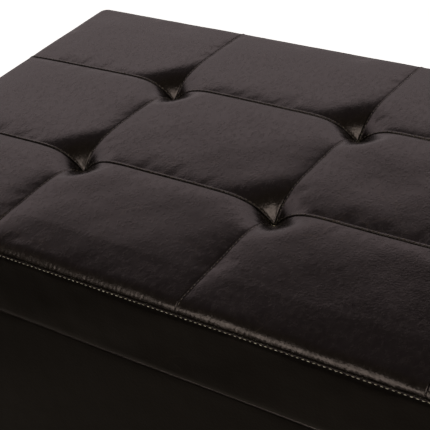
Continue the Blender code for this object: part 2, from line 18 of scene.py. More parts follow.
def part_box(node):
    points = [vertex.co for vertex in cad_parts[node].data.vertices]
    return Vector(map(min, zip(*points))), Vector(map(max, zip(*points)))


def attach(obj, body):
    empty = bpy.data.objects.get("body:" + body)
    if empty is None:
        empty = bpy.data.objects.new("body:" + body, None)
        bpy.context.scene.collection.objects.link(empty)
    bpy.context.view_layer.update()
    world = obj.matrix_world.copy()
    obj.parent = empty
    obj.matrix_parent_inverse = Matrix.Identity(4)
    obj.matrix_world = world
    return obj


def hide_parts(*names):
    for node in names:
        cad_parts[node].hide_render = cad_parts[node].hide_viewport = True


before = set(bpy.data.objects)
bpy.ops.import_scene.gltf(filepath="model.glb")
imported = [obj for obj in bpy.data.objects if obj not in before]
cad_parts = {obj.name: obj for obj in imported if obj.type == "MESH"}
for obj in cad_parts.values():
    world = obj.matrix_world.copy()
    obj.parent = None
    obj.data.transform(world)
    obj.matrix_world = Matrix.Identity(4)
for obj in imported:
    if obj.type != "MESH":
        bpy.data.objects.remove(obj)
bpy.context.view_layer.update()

# %% [markdown]
# ## Sizes come from the frame
#
# The seam lines of the top are where its twelve panels meet, so they are read from the
# panels' own boxes. Anything placed later is measured from these lines, which keeps the
# sewn pieces on the solids that carry them.

# %% Seam lines and levels
ROWS = range(1, 4)
COLUMNS = range(1, 5)
LEFT, RIGHT, FRONT, BACK = "left", "right", "front", "back"


def low(node, axis):
    return float(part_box(node)[0][axis])


def high(node, axis):
    return float(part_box(node)[1][axis])


def panel_node(row, column):
    return f"top_panel_row{row}_col{column}"


def meeting_lines(nodes, axis, first, last):
    """Where neighbouring pieces meet along an axis, with the outer ends."""
    middles = [(high(a, axis) + low(b, axis)) / 2 for a, b in zip(nodes, nodes[1:])]
    return np.array([first, *middles, last])


LID_X = (low("lid_left_band", 0), high("lid_right_band", 0))
LID_Y = (low("lid_front_band", 1), high("lid_back_band", 1))
SEAMS_X = meeting_lines([panel_node(1, c) for c in COLUMNS], 0, *LID_X)
SEAMS_Y = meeting_lines([panel_node(r, 1) for r in ROWS], 1, *LID_Y)
LID_BOTTOM = low("lid_front_band", 2)
BORDER_Z = high("lid_front_band", 2) + 0.0018
TUFTS = [(x, y) for y in SEAMS_Y[1:-1] for x in SEAMS_X[1:-1]]
print("seams along x:", SEAMS_X.round(4), "along y:", SEAMS_Y.round(4), "tufts:", len(TUFTS))

# %% [markdown]
# ## A helper for shader nodes
#
# A procedural material is a small network of nodes. Writing each one as a single call keeps
# a recipe readable: the kind of node, the settings on its own sockets, and the links in.

# %% Node and colour helpers
def add_node(material, kind, settings=None, links=None):
    """Add one shader node, set its sockets or properties, and link its inputs."""
    node = material.node_tree.nodes.new(kind)
    for name, value in (settings or {}).items():
        if isinstance(name, int) or name in node.inputs:
            node.inputs[name].default_value = value
        else:
            setattr(node, name, value)
    for name, source in (links or {}).items():
        material.node_tree.links.new(source, node.inputs[name])
    return node


def linear(hex_colour):
    """Turn an sRGB hex colour into the linear values that a shader works in."""
    channels = [int(hex_colour[i:i + 2], 16) / 255 for i in (1, 3, 5)]
    bent = [c / 12.92 if c <= 0.04045 else ((c + 0.055) / 1.055) ** 2.4 for c in channels]
    return (*bent, 1.0)


def per_metre(millimetres):
    """A texture scale whose features are about this many millimetres across."""
    return 1000.0 / millimetres


def new_material(name):
    """A material with only its output, and that output."""
    material = bpy.data.materials.new(name)
    material.use_nodes = True
    material.node_tree.nodes.clear()
    return material, add_node(material, "ShaderNodeOutputMaterial")


NOISE_SPAN = {"From Min": 0.35, "From Max": 0.65}    # a noise pattern seldom leaves this span
print("mid grey as a linear value:", round(linear("#808080")[0], 3))

# %% [markdown]
# ## Bonded leather
#
# Bonded leather is leather fibre pressed with polyurethane and rolled with a grain. Its
# plastic film gives a satin gloss (IOR about 1.5) over an almost black brown. The eye reads
# it by three things: a tight pebble grain about 1 mm across, drawn here at 2.2 mm so that it
# shows, a streaky mottle of 4 mm in colour, gloss and height, and a few pale scuff lines.
# The lines are the thin walls between warped cells 30 mm across, kept to patches by a slow
# mask. A picture of leather could do it, but patterns in metres need no flattened copy of the
# mesh and never repeat. The sides are the same leather, matt from handling and hardly worn,
# and their darker colours are painted shade.

# %% Bonded leather
def bonded_leather(name, dark, light, roughness, wear):
    material, output = new_material(name)
    place = add_node(material, "ShaderNodeTexCoord").outputs["Object"]
    drift = add_node(
        material, "ShaderNodeTexNoise", {"Scale": per_metre(80), "Detail": 3.0}, {"Vector": place}
    )
    warp = add_node(
        material, "ShaderNodeTexNoise", {"Scale": per_metre(24), "Detail": 3.0}, {"Vector": place}
    )
    bent = add_node(
        material, "ShaderNodeVectorMath", {"operation": "MULTIPLY_ADD", 1: (0.014, 0.014, 0.014)},
        {0: warp.outputs["Color"], 2: place},
    )
    pulled = add_node(material, "ShaderNodeMapping", {"Scale": (1.0, 0.6, 1.0)}, {"Vector": place})
    streaks = add_node(
        material, "ShaderNodeTexNoise", {"Scale": per_metre(4.0), "Detail": 5.0, "Roughness": 0.6},
        {"Vector": pulled.outputs["Vector"]},
    )
    grain = add_node(material, "ShaderNodeTexVoronoi", {"Scale": per_metre(2.2)}, {"Vector": place})
    cells = add_node(
        material, "ShaderNodeTexVoronoi", {"feature": "DISTANCE_TO_EDGE", "Scale": per_metre(30)},
        {"Vector": bent.outputs["Vector"]},
    )
    line = add_node(
        material, "ShaderNodeMapRange",
        {"From Min": 0.002, "From Max": 0.022, "To Min": 1.0, "To Max": 0.0},
        {"Value": cells.outputs["Distance"]},
    )
    patch = add_node(
        material, "ShaderNodeMapRange",
        {"From Min": 0.50, "From Max": 0.66, "To Min": 0.0, "To Max": wear},
        {"Value": drift.outputs["Fac"]},
    )
    scuff = add_node(
        material, "ShaderNodeMath", {"operation": "MULTIPLY"},
        {0: line.outputs["Result"], 1: patch.outputs["Result"]},
    )
    mottle = add_node(
        material, "ShaderNodeMapRange", NOISE_SPAN, {"Value": streaks.outputs["Fac"]}
    )
    film = add_node(
        material, "ShaderNodeMixRGB", {"Color1": linear(dark), "Color2": linear(light)},
        {"Fac": mottle.outputs["Result"]},
    )
    colour = add_node(
        material, "ShaderNodeMixRGB", {"Color2": linear("#3b3129")},
        {"Fac": scuff.outputs["Value"], "Color1": film.outputs["Color"]},
    )
    satin = add_node(
        material, "ShaderNodeMapRange",
        {"From Min": 0.3, "From Max": 0.7, "To Min": roughness - 0.06, "To Max": roughness + 0.06},
        {"Value": streaks.outputs["Fac"]},
    )
    pebble = add_node(
        material, "ShaderNodeBump", {"Strength": 0.14, "Distance": 0.0006},
        {"Height": grain.outputs["Distance"]},
    )
    relief = add_node(
        material, "ShaderNodeBump", {"Strength": 0.13, "Distance": 0.0010},
        {"Height": streaks.outputs["Fac"], "Normal": pebble.outputs["Normal"]},
    )
    shader = add_node(
        material, "ShaderNodeBsdfPrincipled", {"IOR": 1.5, "Specular Tint": (1.0, 0.83, 0.83, 1.0)},
        {
            "Base Color": colour.outputs["Color"], "Roughness": satin.outputs["Result"],
            "Normal": relief.outputs["Normal"],
        },
    )
    material.node_tree.links.new(shader.outputs["BSDF"], output.inputs["Surface"])
    return material


TOP_LEATHER = bonded_leather("bonded_leather_top", "#070504", "#0e0b08", 0.25, 0.50)
# The sides' darker film colours are painted shade on the same leather as the top.
PAINTED_SHADE_SIDE_LEATHER = bonded_leather("bonded_leather_sides_painted_shade", "#050403", "#090705", 0.34, 0.12)
print("leather nodes:", len(TOP_LEATHER.node_tree.nodes))

# %% [markdown]
# ## The shape of a blind-tufted top
#
# Six loops of twine pull the seam crossings down towards the lid's board, and foam pushes
# everything else up. It could be sculpted by hand, but a height worked out from a few rules
# can be read at any place, so panels, foam and stitches all agree. Near the outer edge the
# leather rolls over the foam in an arc. The whole pad is domed, because foam is squeezed
# most at its edges. Each panel swells away from its seams and levels off.

# %% Height of the top
ROLL_RADIUS = 0.014
SEAM_TILT = math.radians(60)     # how far round the roll the border seam lies
SEAM_INSET = ROLL_RADIUS * (1 - math.sin(SEAM_TILT))
SEAM_DROP = ROLL_RADIUS * math.cos(SEAM_TILT)
DOME_RISE = 0.0054
DOME_EASE = 0.030                # length over which the quick part of the dome is reached
DOME_STEADY = 0.60               # share of the dome that rises evenly across the outer panels
PANEL_RISE = 0.0018
SWELL = 0.016                    # how far from a seam a panel levels off
OUTER_SWELL = 0.05               # the same beside the border


def edge_distance(x, y):
    return np.minimum.reduce([x - LID_X[0], LID_X[1] - x, y - LID_Y[0], LID_Y[1] - y])


def edge_rise(distance):
    """Height over the border seam of leather that rolls over the foam's edge."""
    run = np.clip(1 - distance / ROLL_RADIUS, 0.0, 1.0)
    return ROLL_RADIUS * np.sqrt(1 - run**2) - SEAM_DROP


def swell(value, lines):
    """How far a panel has risen over its seams, from 0 on a seam to nearly 1 in its middle."""
    total = np.zeros_like(value)
    last = len(lines) - 2
    for k, (start, end) in enumerate(zip(lines, lines[1:])):
        inside = (value >= start) & (value <= end)
        from_start, to_end = value - start, end - value
        rise_start, rise_end = 1 - np.exp(-from_start / SWELL), 1 - np.exp(-to_end / SWELL)
        if k == 0:
            rise_start = np.clip(from_start / OUTER_SWELL, 0, 1)
        if k == last:
            rise_end = np.clip(to_end / OUTER_SWELL, 0, 1)
        total = np.where(inside, rise_start * rise_end, total)
    return total


def dome(x, y):
    """The foam is squeezed towards its edges, so the outer panels lean outwards."""
    shares = []
    for value, lines in ((x, SEAMS_X), (y, SEAMS_Y)):
        inward = np.minimum(value - lines[0], lines[-1] - value)
        steady = np.clip(inward / (lines[1] - lines[0]), 0, 1)
        quick = 1 - np.exp(-inward.clip(0) / DOME_EASE)
        shares.append(DOME_STEADY * steady + (1 - DOME_STEADY) * quick)
    return shares[0] * shares[1]


# %% [markdown]
# ## The dip round a tuft
#
# Leather doesn't stretch into a smooth funnel. A flat-cut panel folds across its corner, so
# the level lines round a tuft are nearly straight there, and the four folds meet in a cross.
# The dip has two slopes: a shallow one out to its crest, then a steep pit. On the quarter
# towards the front right the pit is eased to an even ramp, where the cover hangs looser.

# %% Tuft dips
TUFT_REACH = 0.050
TUFT_SLOPE = 0.08
PIT_SLOPE = 1.34
TUFT_BEND = 1.2                  # 1 gives straight level lines across a corner, 2 gives circles
CREST = 0.0050                   # how softly the dip begins
NEAR_RAMP = 0.80


def tuft_drop(x, y):
    """How far the six ties pull the leather down."""
    drop = np.zeros_like(x)
    for tuft_x, tuft_y in TUFTS:
        across, along = x - tuft_x, y - tuft_y
        reach = (np.abs(across) ** TUFT_BEND + np.abs(along) ** TUFT_BEND) ** (1 / TUFT_BEND)
        inward = CREST * np.logaddexp(0, (TUFT_REACH - reach) / CREST) / TUFT_REACH
        steep = TUFT_REACH * (TUFT_SLOPE * inward + (PIT_SLOPE - TUFT_SLOPE) * inward**3 / 3)
        ramp = TUFT_REACH * (TUFT_SLOPE + (PIT_SLOPE - TUFT_SLOPE) / 3) * inward
        far = np.hypot(across, along) + 1e-9
        diagonal = 2 * np.abs(across * along) / far**2
        share = np.where((across > 0) & (along < 0), NEAR_RAMP, 0.0) * diagonal * far / (far + 0.001)
        drop += steep + (ramp - steep) * share
    return drop


def top_height(x, y):
    """The smooth shape of the whole top."""
    height = BORDER_Z + edge_rise(edge_distance(x, y)) + DOME_RISE * dome(x, y)
    height = height + PANEL_RISE * swell(x, SEAMS_X) * swell(y, SEAMS_Y)
    return height - tuft_drop(x, y)


probe = top_height(np.array([0.1, SEAMS_X[1], SEAMS_X[1]]), np.array([0.0, SEAMS_Y[1], 0.0]))
print("panel, tuft and seam height over the border seam, mm:", ((probe - BORDER_Z) * 1000).round(1))

# %% [markdown]
# ## Fine relief
#
# A seam is a sunk join with its allowance folded to one side, and the fold is what its
# stitches hold down. Round a tuft the leather gathers in small rays. Everywhere else it is
# a little uneven, since foam is never quite level. These are under a millimetre, so they are
# kept apart from the shape and added along its normals.

# %% Seams, rays and unevenness
SEAM_STITCH_OFFSET = 0.0018      # from a seam to its row of stitches
JOIN_DEPTH, JOIN_WIDTH = 0.0009, 0.0005
FOLD_HEIGHT, FOLD_FROM, FOLD_TO = 0.00060, 0.0003, 0.0026
CHANNEL_DEPTH, CHANNEL_WIDTH = 0.0002, 0.0004
RAY_HEIGHT, RAY_REACH, RAY_COUNTS = 0.00014, 0.016, (15, 23)
UNEVEN = ((0.00022, 0.080, 11), (0.00003, 0.022, 12))    # height, wavelength, seed


def seam_relief(offset):
    """Across a seam: a sunk join, then the folded allowance, then its row of stitches."""
    join = -JOIN_DEPTH * np.exp(-((np.abs(offset) / JOIN_WIDTH) ** 1.3))
    fold = FOLD_HEIGHT * np.clip((offset - FOLD_FROM) / 0.0006, 0, 1)
    fold = fold * np.clip((FOLD_TO - offset) / 0.0010, 0, 1)
    channel = -CHANNEL_DEPTH * np.exp(-(((offset - SEAM_STITCH_OFFSET) / CHANNEL_WIDTH) ** 2))
    return join + fold + channel


def ripple(x, y, wavelength, seed, waves=9):
    """A smooth, repeatable unevenness between about -1 and 1."""
    random = np.random.default_rng(seed)
    total = np.zeros_like(x)
    for _ in range(waves):
        angle, phase = random.uniform(0, 2 * math.pi, 2)
        size = wavelength * random.uniform(0.6, 1.7)
        total += np.sin(2 * math.pi * (x * math.cos(angle) + y * math.sin(angle)) / size + phase)
    return total / math.sqrt(waves)


def small_relief(x, y):
    """Sewn seams, the rays round each tuft, and the slight unevenness of leather on foam."""
    relief = np.zeros_like(x)
    for line in SEAMS_X[1:-1]:
        relief += seam_relief(x - line)
    for line in SEAMS_Y[1:-1]:
        relief += seam_relief(y - line)
    for number, (tuft_x, tuft_y) in enumerate(TUFTS):
        across, along = x - tuft_x, y - tuft_y
        far, turn = np.hypot(across, along), np.arctan2(along, across)
        rays = np.sin(RAY_COUNTS[0] * turn + number) + np.sin(RAY_COUNTS[1] * turn - number)
        relief += RAY_HEIGHT * rays * far / (far + 0.006) * np.exp(-far / RAY_REACH)
    edge = edge_distance(x, y)
    settled = np.clip((edge - SEAM_INSET) / ROLL_RADIUS, 0, 1)
    uneven = sum(size * ripple(x, y, wavelength, seed) for size, wavelength, seed in UNEVEN)
    return relief * np.clip((edge - SEAM_INSET) / 0.006, 0.2, 1.0) + uneven * settled


print("seam relief at its fold, mm:", round(float(seam_relief(np.array(0.001))) * 1000, 2))

# %% [markdown]
# ## Letting the leather find its creases
#
# The rules above are smooth, and real leather is not. A cloth simulation supplies the small
# folds: a sheet cut slightly too large is held at the tufts, the seams and the border, and
# foam pressure swells it. Only its movement away from the smooth shape is kept, as a field
# that the finished panels then read, so their own fine grids keep every sewn line sharp.
# The movement is capped and only a share of it is used, since taut leather hardly puckers.

# %% Simulate the cover
FIELD_STEP = 0.005
FIELD_CAP = 0.0008
FIELD_SHARE = 0.35
HELD_REACH = 0.6                 # in grid steps, how near a seam a point is held
FRAMES = 20


def field_axis(start, end):
    return np.linspace(start, end, int(round((end - start) / FIELD_STEP)) + 1)


FIELD_X, FIELD_Y = field_axis(*LID_X), field_axis(*LID_Y)


def grid_mesh(name, points, columns):
    """A plain grid of quads from points given row by row."""
    rows = len(points) // columns
    index = np.arange(rows * columns).reshape(rows, columns)
    quads = np.stack([index[:-1, :-1], index[:-1, 1:], index[1:, 1:], index[1:, :-1]], axis=-1)
    mesh = bpy.data.meshes.new(name)
    mesh.from_pydata(points.tolist(), [], quads.reshape(-1, 4).tolist())
    return mesh


def simulate_cover():
    x, y = np.meshgrid(FIELD_X, FIELD_Y)
    start = np.stack([x, y, top_height(x, y)], axis=-1).reshape(-1, 3)
    sheet = bpy.data.objects.new("cover_trial", grid_mesh("cover_trial", start, len(FIELD_X)))
    bpy.context.scene.collection.objects.link(sheet)
    near_x = np.abs(start[:, 0, None] - SEAMS_X[None, :]).min(axis=1)
    near_y = np.abs(start[:, 1, None] - SEAMS_Y[None, :]).min(axis=1)
    held = sheet.vertex_groups.new(name="held")
    distance = np.minimum(near_x, near_y)
    for i in np.nonzero(distance < FIELD_STEP * HELD_REACH)[0]:
        held.add([int(i)], 1.0, "REPLACE")
    cloth = sheet.modifiers.new("cloth", "CLOTH")
    setting = cloth.settings
    setting.quality = 6
    setting.mass = 0.35
    setting.tension_stiffness = 25
    setting.compression_stiffness = 25
    setting.shear_stiffness = 12
    setting.bending_stiffness = 6.0
    setting.vertex_group_mass = "held"
    setting.shrink_min = -0.005
    setting.use_pressure = True
    setting.uniform_pressure_force = 1.0
    setting.effector_weights.gravity = 0.0
    scene = bpy.context.scene
    for number in range(1, FRAMES + 1):
        scene.frame_set(number)
    settled = sheet.evaluated_get(bpy.context.evaluated_depsgraph_get())
    end = np.empty(len(start) * 3)
    settled.data.vertices.foreach_get("co", end)
    scene.frame_set(1)
    bpy.data.objects.remove(sheet, do_unlink=True)
    move = end.reshape(-1, 3) - start
    length = np.linalg.norm(move, axis=1, keepdims=True)
    move *= FIELD_SHARE * np.minimum(1.0, FIELD_CAP / np.maximum(length, 1e-9))
    print("largest move, mm:", float(length.max() * 1000), "mean:", float(length.mean() * 1000))
    return move.reshape(len(FIELD_Y), len(FIELD_X), 3)


COVER_MOVE = simulate_cover()


# %% [markdown]
# ## Reading the simulated movement
#
# A piece needs the movement at its own points, which seldom fall on the trial sheet's grid,
# so it is read between the four nearest ones. The same cell turns the square plan corners
# into arcs, as a leather cover can't follow a sharp corner.

# %% Read the movement and round the corners
CORNER_RADIUS = 0.016


def cover_move(x, y):
    """The simulated movement at any place on the top, read between grid points."""
    u = (x - LID_X[0]) / (LID_X[1] - LID_X[0]) * (len(FIELD_X) - 1)
    v = (y - LID_Y[0]) / (LID_Y[1] - LID_Y[0]) * (len(FIELD_Y) - 1)
    u, v = np.clip(u, 0, len(FIELD_X) - 1.001), np.clip(v, 0, len(FIELD_Y) - 1.001)
    i, j = u.astype(int), v.astype(int)
    fu, fv = (u - i)[..., None], (v - j)[..., None]
    lower = COVER_MOVE[j, i] * (1 - fu) + COVER_MOVE[j, i + 1] * fu
    upper = COVER_MOVE[j + 1, i] * (1 - fu) + COVER_MOVE[j + 1, i + 1] * fu
    return lower * (1 - fv) + upper * fv


def round_corner(x, y, rect, radius):
    """Turn the square plan corners of a rectangle into arcs, with all that lies inside them."""
    a = radius - np.minimum(x - rect[0], rect[1] - x)
    b = radius - np.minimum(y - rect[2], rect[3] - y)
    inside = (a > 0) & (b > 0)
    a, b = np.where(inside, a, 1.0), np.where(inside, b, 1.0)
    spare = np.where(inside, 1 - np.maximum(a, b) / np.hypot(a, b), 0.0)
    new_x = x - np.sign(x - (rect[0] + rect[1]) / 2) * a * spare
    new_y = y - np.sign(y - (rect[2] + rect[3]) / 2) * b * spare
    return new_x, new_y


LID_RECT = (*LID_X, *LID_Y)


def smooth_cover(x, y):
    """The cover's shape before its fine relief, with the simulated movement."""
    round_x, round_y = round_corner(x, y, LID_RECT, CORNER_RADIUS)
    return np.stack([round_x, round_y, top_height(x, y)], axis=-1) + cover_move(x, y)


corner = smooth_cover(np.array([LID_X[0]]), np.array([LID_Y[0]]))[0]
print("the square corner moves in by, mm:", ((corner[:2] - [LID_X[0], LID_Y[0]]) * 1000).round(1))


# %% [markdown]
# ## Twelve leather panels
#
# Each panel is its own sheet, as it was cut and sewn. Its grid is dense beside the seams,
# where a millimetre matters, and loose in the middle. The sheet is given its thickness by a
# second, lower grid, so it is a closed piece whose edges turn down into the seams.

# %% Build the panels
STITCH_PITCH = 0.0050
# Distances in from a seam at which the grid has a line, in millimetres until divided.
NEAR_SEAM = np.array([0.05, 0.3, 0.6, 0.95, 1.35, 1.8, 2.25, 2.8, 3.6, 4.8, 6.4, 8.4, 11, 14]) / 1000
ROLL_ANGLES = np.array([60, 59, 58, 56.5, 55, 53, 50, 46, 41, 36, 31, 26, 21, 16, 11, 6, 0])
NEAR_EDGE = ROLL_RADIUS * (1 - np.sin(np.radians(ROLL_ANGLES)))
BACKING = 0.0022


def panel_axis(start, end, start_is_edge, end_is_edge, pitch):
    """Grid lines across a panel, crowded where it is sewn or rolled."""
    first = NEAR_EDGE if start_is_edge else NEAR_SEAM
    last = NEAR_EDGE if end_is_edge else NEAR_SEAM
    middle = np.linspace(start + first[-1], end - last[-1], int((end - start) / pitch))
    return np.concatenate([start + first[:-1], middle, end - last[:-1][::-1]])


def grid_normals(points):
    """Unit normals of a grid of points, from its own neighbours."""
    along_rows, along_columns = np.gradient(points, axis=1), np.gradient(points, axis=0)
    normal = np.cross(along_rows, along_columns)
    return normal / np.maximum(np.linalg.norm(normal, axis=-1, keepdims=True), 1e-12)


def closed_sheet(name, upper, lower):
    """A closed mesh from an upper and a lower grid of points, joined round the rim."""
    rows, columns = upper.shape[:2]
    count = rows * columns
    index = np.arange(count).reshape(rows, columns)
    quads = np.stack([index[:-1, :-1], index[:-1, 1:], index[1:, 1:], index[1:, :-1]], axis=-1)
    quads = quads.reshape(-1, 4)
    rim = np.concatenate([index[0], index[1:, -1], index[-1, -2::-1], index[-2:0:-1, 0]])
    after = np.roll(rim, -1)
    sides = np.stack([rim + count, after + count, after, rim], axis=-1)
    faces = np.concatenate([quads, quads[:, ::-1] + count, sides]).tolist()
    points = np.concatenate([upper.reshape(-1, 3), lower.reshape(-1, 3)]).tolist()
    mesh = bpy.data.meshes.new(name)
    mesh.from_pydata(points, [], faces)
    mesh.shade_smooth()
    mesh.set_sharp_from_angle(angle=math.radians(65))
    return mesh


def add_piece(name, mesh, material, body):
    """Link a finished mesh as a piece of one body, with its material."""
    piece = bpy.data.objects.new(name, mesh)
    bpy.context.scene.collection.objects.link(piece)
    mesh.materials.clear()
    mesh.materials.append(material)
    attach(piece, body)
    return piece


# %% [markdown]
# ## The border seam
#
# Where the top meets the side strips, each edge is turned in, and every stitch draws a short
# crease into the leather beside it. The creases differ in depth and length, because no two
# stitches are pulled equally, so they are drawn from a seeded table with one row per stitch.

# %% Border relief and the panels
PINCH_DEPTH = 0.00060
PINCH_TABLE = 400                # more stitches than the longest side has
TURNED_DEPTH, TURNED_WIDTH = 0.0008, 0.0004


def pinch(run, away, seed):
    """Creases that each stitch of the border draws into the leather beside it."""
    number = np.round(run / STITCH_PITCH)
    random = np.random.default_rng(seed)
    depth = random.uniform(0.2, 1.0, PINCH_TABLE)
    shift = random.uniform(-0.1, 0.1, PINCH_TABLE)
    length = random.uniform(1.2, 3.6, PINCH_TABLE)
    index = (number.astype(int) + PINCH_TABLE // 2) % PINCH_TABLE
    near = np.clip(1 - np.abs(run / STITCH_PITCH - number - shift[index]) / 0.3, 0, 1)
    return PINCH_DEPTH * depth[index] * near * np.exp(-away / (length[index] / 1000))


def border_relief(x, y):
    """The cover's outer edge turns down into the border seam and is drawn in by each stitch."""
    edge = edge_distance(x, y)
    tilt = np.arcsin(np.clip(1 - edge / ROLL_RADIUS, 0, 1))
    away = ROLL_RADIUS * (SEAM_TILT - tilt)
    turned = TURNED_DEPTH * np.exp(-((away / TURNED_WIDTH) ** 2))
    to_side_y, to_side_x = np.minimum(y - LID_Y[0], LID_Y[1] - y), np.minimum(x - LID_X[0], LID_X[1] - x)
    on_width = to_side_y <= to_side_x
    return turned + pinch(np.where(on_width, x, y), away, 31)


FINE_PITCH, PLAIN_PITCH = STITCH_PITCH / 4, 0.003


def build_panels():
    for row in ROWS:
        for column in COLUMNS:
            pitch_x = FINE_PITCH if row in (1, 3) else PLAIN_PITCH
            pitch_y = FINE_PITCH if column in (1, 4) else PLAIN_PITCH
            xs = panel_axis(SEAMS_X[column - 1], SEAMS_X[column], column == 1, column == 4, pitch_x)
            ys = panel_axis(SEAMS_Y[row - 1], SEAMS_Y[row], row == 1, row == 3, pitch_y)
            x, y = np.meshgrid(xs, ys)
            smooth = smooth_cover(x, y)
            normals = grid_normals(smooth)
            upper = smooth + normals * (small_relief(x, y) - border_relief(x, y))[..., None]
            lower = smooth - normals * BACKING
            name = f"leather_panel_{row}_{column}"
            piece = add_piece(name, closed_sheet(name, upper, lower), TOP_LEATHER, "lid")
            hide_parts(panel_node(row, column))
    print("panels:", len(ROWS) * len(COLUMNS), "points in one layer of the last:", x.size)


build_panels()

# %% [markdown]
# ## The foam under the leather
#
# A block of polyurethane foam gives the top its spring. It is never seen once the cover is
# on, yet it is a real piece, so it follows the cover's underside and stands on the lid's
# board. Open-cell foam is cut from a block, and is pale yellow with fine pores.

# %% Foam pad
FOAM_INSET = 0.0060
FOAM_UNDER = 0.0050


def cut_foam():
    material, output = new_material("polyurethane_foam")
    place = add_node(material, "ShaderNodeTexCoord").outputs["Object"]
    pores = add_node(material, "ShaderNodeTexVoronoi", {"Scale": per_metre(1.5)}, {"Vector": place})
    tone = add_node(material, "ShaderNodeMapRange", NOISE_SPAN, {"Value": pores.outputs["Distance"]})
    colour = add_node(
        material, "ShaderNodeMixRGB", {"Color1": linear("#d9cfa6"), "Color2": linear("#e9e2c4")},
        {"Fac": tone.outputs["Result"]},
    )
    pitted = add_node(
        material, "ShaderNodeBump", {"Strength": 0.5, "Distance": 0.0005},
        {"Height": pores.outputs["Distance"]},
    )
    shader = add_node(
        material, "ShaderNodeBsdfPrincipled", {"IOR": 1.45, "Roughness": 0.9},
        {"Base Color": colour.outputs["Color"], "Normal": pitted.outputs["Normal"]},
    )
    material.node_tree.links.new(shader.outputs["BSDF"], output.inputs["Surface"])
    return material


def build_foam():
    x0, x1, y0, y1 = LID_RECT
    x, y = np.meshgrid(
        np.linspace(x0 + FOAM_INSET, x1 - FOAM_INSET, 150), np.linspace(y0 + FOAM_INSET, y1 - FOAM_INSET, 80)
    )
    upper = smooth_cover(x, y) - np.array([0, 0, FOAM_UNDER])
    lower = upper.copy()
    lower[..., 2] = low("lid_foam", 2)
    pad = add_piece("foam_pad", closed_sheet("foam_pad", upper, lower), cut_foam(), "lid")
    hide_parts("lid_foam")
    return pad


foam_pad = build_foam()
print("foam pad, mm:", [round(v * 1000) for v in foam_pad.dimensions])

# %% [markdown]
# ## Covers of the sides
#
# Each side of the lid and of the base is wrapped in one strip of the same leather. The strip
# is folded over its edges, so a section across it is a flat face with a small roll at each
# fold. Sweeping that section along the side and turning the ends round the corner gives the
# real corner, which is mitred and closed by hand. The face bulges by half a millimetre and
# wanders a little, because nothing glued over felt is quite flat.

# %% Wrap the sides
SIDE_AXIS = {FRONT: (0, 1, -1), BACK: (0, 1, 1), LEFT: (1, 0, -1), RIGHT: (1, 0, 1)}


def side_steps(half, radius, pitch=STITCH_PITCH / 4):
    """Places along a side, with even steps round each half of its corner arc."""
    arc = radius * np.tan(np.radians(np.linspace(45, 0, 9)))
    ends = half - radius + arc
    middle = np.arange(-half + radius, half - radius, pitch)[1:]
    return np.concatenate([-ends, middle, ends[::-1]])


def side_grid(rect, side, radius, section, wander):
    """Sweep a section of (inset, height) pairs along one side of a rectangle."""
    run_axis, face_axis, sign = SIDE_AXIS[side]
    spans = ((rect[0], rect[1]), (rect[2], rect[3]))
    run_low, run_high = spans[run_axis]
    half, run_middle = (run_high - run_low) / 2, (run_high + run_low) / 2
    steps = side_steps(half, radius)
    inset = section[:, 0][:, None] + wander(steps[None, :] + run_middle, section[:, 1][:, None], side)
    share = np.clip(1 - np.maximum(section[:, 0], 0)[:, None] / half, 0, 1)
    run = steps[None, :] * share + run_middle
    face = spans[face_axis][(sign + 1) // 2] - sign * inset
    x, y = (run, face) if run_axis == 0 else (face, run)
    x, y = round_corner(x, y, rect, radius)
    height = np.broadcast_to(section[:, 1][:, None], x.shape)
    grid = np.stack([x, y, height], axis=-1)
    flip = side in (FRONT, RIGHT)
    return grid[:, ::-1] if flip else grid


def arc_section(centre_inset, centre_z, radius, start, end, steps=5):
    turn = np.radians(np.linspace(start, end, steps))
    return np.stack([centre_inset - radius * np.cos(turn), centre_z + radius * np.sin(turn)], axis=-1)


def section_length(section):
    return float(np.linalg.norm(np.diff(section, axis=0), axis=1).sum())


LID_TUCK = 0.0032
LID_ROLL = 0.0080
FLAP = 0.0145


def lid_section():
    """From the border seam the roll goes on to the vertical face, then folds under the lid."""
    tilt = np.radians(np.array([60, 60.8, 61.8, 63, 64.5, 66, 68, 70, 73, 76, 80, 85, 90]))
    shoulder_z = BORDER_Z - SEAM_DROP + ROLL_RADIUS * np.cos(tilt)
    shoulder = np.stack([ROLL_RADIUS * (1 - np.sin(tilt)), shoulder_z], axis=-1)
    away = ROLL_RADIUS * (tilt - SEAM_TILT)
    turned = TURNED_DEPTH * np.exp(-((away / TURNED_WIDTH) ** 2))
    shoulder[:, 0] += turned * np.sin(tilt)
    shoulder[:, 1] -= turned * np.cos(tilt)
    face_z = np.linspace(BORDER_Z - SEAM_DROP - 0.005, LID_BOTTOM + 0.012, 11)
    face = np.stack([0 * face_z, face_z], axis=-1)
    turn = np.radians(np.linspace(0, 90, 11))
    fold = np.stack([LID_TUCK * (1 - np.cos(turn)), LID_BOTTOM + LID_ROLL * (1 - np.sin(turn))], axis=-1)
    flap = np.array([(0.010, LID_BOTTOM), (FLAP, LID_BOTTOM)])
    return np.concatenate([shoulder, face, fold, flap])


BASE_ROLL = 0.0030
BASE_TOP = high("base_front_cover", 2)
BASE_BOTTOM = low("base_front_cover", 2)


def base_section():
    top_flap = np.array([(FLAP, BASE_TOP), (0.008, BASE_TOP)])
    top_fold = arc_section(BASE_ROLL, BASE_TOP - BASE_ROLL, BASE_ROLL, 90, 0, 7)
    face_z = np.linspace(BASE_TOP - 0.012, BASE_BOTTOM + 0.012, 34)
    bulge = -0.0005 * np.sin((face_z - BASE_BOTTOM) / (BASE_TOP - BASE_BOTTOM) * math.pi)
    face = np.stack([bulge, face_z], axis=-1)
    low_fold = arc_section(BASE_ROLL, BASE_BOTTOM + BASE_ROLL, BASE_ROLL, 0, -90, 7)
    low_flap = np.array([(0.008, BASE_BOTTOM), (FLAP, BASE_BOTTOM)])
    return np.concatenate([top_flap, top_fold, face, low_fold, low_flap])


